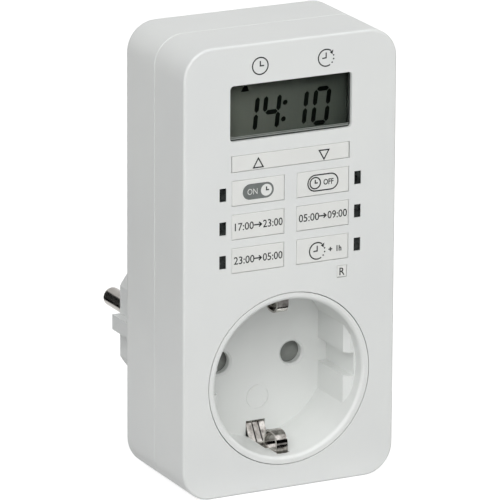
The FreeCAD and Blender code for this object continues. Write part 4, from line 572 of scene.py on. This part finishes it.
def rounded(half_x, half_z, radius):
    """The outline of a rounded rectangle: four quarter turns at its corners."""
    turns = [circle(radius, start, start + 90, 8) for start in (0, 90, 180, 270)]
    signs = [(1, 1), (-1, 1), (-1, -1), (1, -1)]
    return np.concatenate([turn + np.array(sign) * (half_x - radius, half_z - radius)
                           for turn, sign in zip(turns, signs)])


# A dark line round the window, just inside the edge of the glass
lens_low, lens_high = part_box("lcd_window")
lens_half = np.array([lens_high.x - lens_low.x, lens_high.z - lens_low.z]) / 2 / MM - LENS_FLANGE
lens_middle = (0, (lens_low.z + lens_high.z) / 2 / MM)
laid("window_border", [stroke(rounded(*(lens_half - BORDER / 2), LENS_CORNER), BORDER, closed=True)],
     lens_middle, lens_low.y, "case", dark_ink)

# Painted light: two pale bands along the lower edge of the glass stand in for the lit step seen through
# it
band_half, band_low = lens_half[0] - BORDER, BORDER - lens_half[1]
laid("lens_step_painted_light", [filled([(-band_half, band_low + low), (band_half, band_low + low),
                             (band_half, band_low + high), (-band_half, band_low + high)])
                     for low, high in STEP_BANDS],
     lens_middle, lens_low.y, "case", lit_step_paint)

# The time 14:10, its colon, and the marker at the top left; each point moves right as it rises
figures = [*figure("bc", -8.0, 0.0), *figure("fgbc", -5.8, 3.45), *figure("bc", 4.7, 0.0),
           *figure("abcdef", 7.1, 3.4),
           *(filled(circle(COLON_R, count=20) + (COLON_X, dot_up)) for dot_up in (5.9, 2.0)),
           filled([(-12.6, 9.7), (-10.5, 9.7), (-10.85, 10.4), (-11.15, 11.0), (-11.95, 11.0),
                   (-12.25, 10.4)])]
figures = [(points + points[:, 1:2] * (FIGURE_LEAN, 0, 0), faces) for points, faces in figures]
panel_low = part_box("lcd_panel")[0]
laid("display_figures", figures, (0, panel_low.z / MM + FIGURE_FOOT), panel_low.y, "case", dark_crystal)


# Spring of the shutter

def coil(name, wire, turns, material, node):
    """A compression spring in the place of its node: the middle of the wire goes round a circle
    as it rises, and a small circle is carried along it, square to it, with a cap at each end."""
    low, high = (np.array(corner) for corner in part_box(node))
    radius = (high[0] - low[0]) / 2 - wire
    foot = np.array([(low[0] + high[0]) / 2, (low[1] + high[1]) / 2, low[2] + wire])
    rise = (high[2] - low[2] - 2 * wire) / (2 * np.pi * turns)
    turn = np.linspace(0, 2 * np.pi * turns, 24 * turns + 1)
    out = np.stack([np.cos(turn), np.sin(turn), turn * 0], 1)
    along = np.stack([-radius * np.sin(turn), radius * np.cos(turn), turn * 0 + rise], 1)
    along /= np.linalg.norm(along, axis=1, keepdims=True)
    course = foot + radius * out + np.stack([turn * 0, turn * 0, rise * turn], 1)
    section = circle(wire, count=12)
    rings = (course[:, None] + section[:, :1] * out[:, None]
             + section[:, 1:] * np.cross(along, out)[:, None])
    n, m = rings.shape[:2]
    i, j = np.meshgrid(np.arange(n - 1), np.arange(m), indexing="ij")
    k = (j + 1) % m
    faces = np.stack([i * m + j, i * m + k, (i + 1) * m + k, (i + 1) * m + j], -1).reshape(-1, 4).tolist()
    faces += [list(range(m))[::-1], list(range((n - 1) * m, n * m))]
    mesh = bpy.data.meshes.new(name)
    mesh.from_pydata(rings.reshape(-1, 3).tolist(), [], faces)
    mesh.polygons.foreach_set("use_smooth", [True] * len(faces))
    mesh.materials.append(material)
    piece = bpy.data.objects.new(name, mesh)
    bpy.context.scene.collection.objects.link(piece)
    return piece


# The spring of the shutter, as a coil of wire in the place of its node
SPRING_WIRE_R = 0.16 * MM
SPRING_TURNS = 8
spring_coil = coil("shutter_coil", SPRING_WIRE_R, SPRING_TURNS, spring_wire, "shutter_spring")
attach(spring_coil, "case")
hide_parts("shutter_spring")
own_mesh(spring_coil)


# Studio

# Light of the floor and of the world, as shares of white
FLOOR_GLOW = 0.83
WORLD_LIGHT = 0.24


def floor(half=3.0, squares=12):
    """A square floor in metres: a grid of points at height zero, the same number each way."""
    line = np.linspace(-half, half, squares + 1)
    u, v = np.meshgrid(line, line, indexing="ij")
    points = np.stack([u, v, u * 0], -1).reshape(-1, 3)
    i, j = np.meshgrid(np.arange(squares), np.arange(squares), indexing="ij")
    first = i * (squares + 1) + j
    second = first + squares + 1
    faces = np.stack([first, second, second + 1, first + 1], -1)
    mesh = bpy.data.meshes.new("floor")
    mesh.from_pydata(points.tolist(), [], faces.reshape(-1, 4).tolist())
    piece = bpy.data.objects.new("floor", mesh)
    bpy.context.scene.collection.objects.link(piece)
    return piece


def seen(tree):
    """One where the camera, a gloss or clear plastic looks at the surface, nothing where it only
    sheds light on the object."""
    path = add(tree, "ShaderNodeLightPath").outputs
    mirrored = add(tree, "ShaderNodeMath", {0: path["Is Camera Ray"], 1: path["Is Glossy Ray"]},
                   operation="MAXIMUM")
    through = add(tree, "ShaderNodeMath",
                  {0: mirrored.outputs["Value"], 1: path["Is Transmission Ray"]}, operation="MAXIMUM")
    return through.outputs["Value"]


# Floor: matt pale paint that is lifted to white where it is looked at, and keeps the shadow
floor_piece = floor()
floor_material = bpy.data.materials.new("pale_floor")
floor_material.use_nodes = True
floor_tree = floor_material.node_tree
floor_tree.nodes.clear()
floor_lift = add(floor_tree, "ShaderNodeMath", {0: seen(floor_tree), 1: FLOOR_GLOW}, operation="MULTIPLY")
floor_paint = add(floor_tree, "ShaderNodeBsdfDiffuse", {"Color": linear("#bababa")})
floor_glow = add(floor_tree, "ShaderNodeEmission", {"Strength": floor_lift.outputs["Value"]})
floor_both = add(floor_tree, "ShaderNodeAddShader",
                 {0: floor_paint.outputs["BSDF"], 1: floor_glow.outputs["Emission"]})
add(floor_tree, "ShaderNodeOutputMaterial", {"Surface": floor_both.outputs["Shader"]})
floor_piece.data.materials.append(floor_material)

# World: white where it is looked at, and a weak even light on the object
world = bpy.data.worlds.new("studio")
world.use_nodes = True
world_tree = world.node_tree
world_tree.nodes.clear()
world_level = add(world_tree, "ShaderNodeMapRange",
                  {"Value": seen(world_tree), "To Min": WORLD_LIGHT, "To Max": 1.0})
world_light = add(world_tree, "ShaderNodeBackground",
                  {"Color": linear("#ffffff"), "Strength": world_level.outputs["Result"]})
add(world_tree, "ShaderNodeOutputWorld", {"Surface": world_light.outputs["Background"]})
bpy.context.scene.world = world


# Where the lamps aim: the middle of the timer
LAMP_AIM = (0, 0, 0.054)


def softbox(name, at, size, watts):
    """A square lamp that faces the middle of the timer and isn't mirrored in it."""
    lamp = bpy.data.lights.new(name, "AREA")
    lamp.size = size
    lamp.energy = watts
    piece = bpy.data.objects.new(name, lamp)
    out = np.array(at, float) - LAMP_AIM
    out /= np.linalg.norm(out)
    side = np.cross((0, 0, 1), out)
    side /= np.linalg.norm(side)
    turn = np.stack([side, np.cross(out, side), out], 1)
    piece.matrix_world = Matrix.Translation(at) @ Matrix(turn.tolist()).to_4x4()
    piece.visible_glossy = False
    bpy.context.scene.collection.objects.link(piece)


softbox("left_softbox", (-0.56, -0.52, 0.68), 0.65, 4.6)
softbox("right_softbox", (0.65, -1.13, 1.36), 1.3, 11.2)
softbox("rear_softbox", (0.72, 1.30, 0.27), 0.5, 6.0)
softbox("front_softbox", (-0.61, -1.68, 0.53), 1.2, 7.8)


def cloth(name, low, high):
    """Woven cloth over a card, with a slight weave and no gloss of its own."""
    material, tree, surface, place, _ = started(name, **{"Specular IOR Level": 0.0})
    weave = add(tree, "ShaderNodeTexNoise", {"Vector": place, "Scale": 1 / (2.5 * MM)})
    tinted(tree, surface, weave.outputs["Fac"], low, high)
    return material


def card(name, cover, middle, across, up):
    """A card seen only in gloss and through glass, so that bright metal and clear plastic have
    something dark to mirror. Its corners are its middle plus and minus half of each side."""
    middle, across, up = np.array(middle), np.array(across), np.array(up)
    corners = [middle - across - up, middle + across - up, middle + across + up, middle - across + up]
    mesh = bpy.data.meshes.new(name)
    mesh.from_pydata([corner.tolist() for corner in corners], [], [[0, 1, 2, 3]])
    mesh.materials.append(cover)
    piece = bpy.data.objects.new(name, mesh)
    bpy.context.scene.collection.objects.link(piece)
    piece.visible_camera = piece.visible_diffuse = piece.visible_shadow = False


black_cloth = cloth("black_card_cloth", "#030303", "#080808")
grey_cloth = cloth("grey_card_cloth", "#8c8c8c", "#a6a6a6")
card("rear_card", black_cloth, (-0.095, 0.20, 0.065), (0.035, 0.0, 0.0), (0.0, 0.0, 0.063))
card("rear_floor_card", black_cloth, (-0.075, 0.145, 0.002), (0.045, 0.0, 0.0), (0.0, 0.055, 0.0))
card("front_card", black_cloth, (0.10, -1.10, 0.36), (1.0, 0.0, 0.0), (0.0, 0.0, 0.36))
card("front_floor_card", black_cloth, (0.15, -0.565, 0.002), (0.45, 0.0, 0.0), (0.0, 0.52, 0.0))
# A grey one over it, where the earth clips mirror the floor
card("clip_card", grey_cloth, (0.08, -0.141, 0.003), (0.1, 0.0, 0.0), (0.0, 0.079, 0.0))

# Camera: turned 26.7 degrees to the right, 16.7 degrees down and 0.3 degrees over, long lens
CAMERA_AT = (-0.59175, -1.19592, 0.44792)
CAMERA_TURN = (26.674, 16.692, 0.306)
LENS_MM = 421.2
SENSOR_MM = 36.0
yaw, pitch, roll = np.radians(CAMERA_TURN)
ahead = np.array([np.sin(yaw) * np.cos(pitch), np.cos(yaw) * np.cos(pitch), -np.sin(pitch)])
level = np.array([np.cos(yaw), -np.sin(yaw), 0.0])
upright = np.cross(level, ahead)
right = np.cos(roll) * level + np.sin(roll) * upright
up = -np.sin(roll) * level + np.cos(roll) * upright
lens = bpy.data.cameras.new("camera")
lens.lens = LENS_MM
lens.sensor_width = SENSOR_MM
camera = bpy.data.objects.new("camera", lens)
camera_axes = Matrix(np.stack([right, up, -ahead], 1).tolist())
camera.matrix_world = Matrix.Translation(CAMERA_AT) @ camera_axes.to_4x4()
bpy.context.scene.collection.objects.link(camera)
bpy.context.scene.camera = camera
bpy.context.scene.view_settings.view_transform = "Standard"
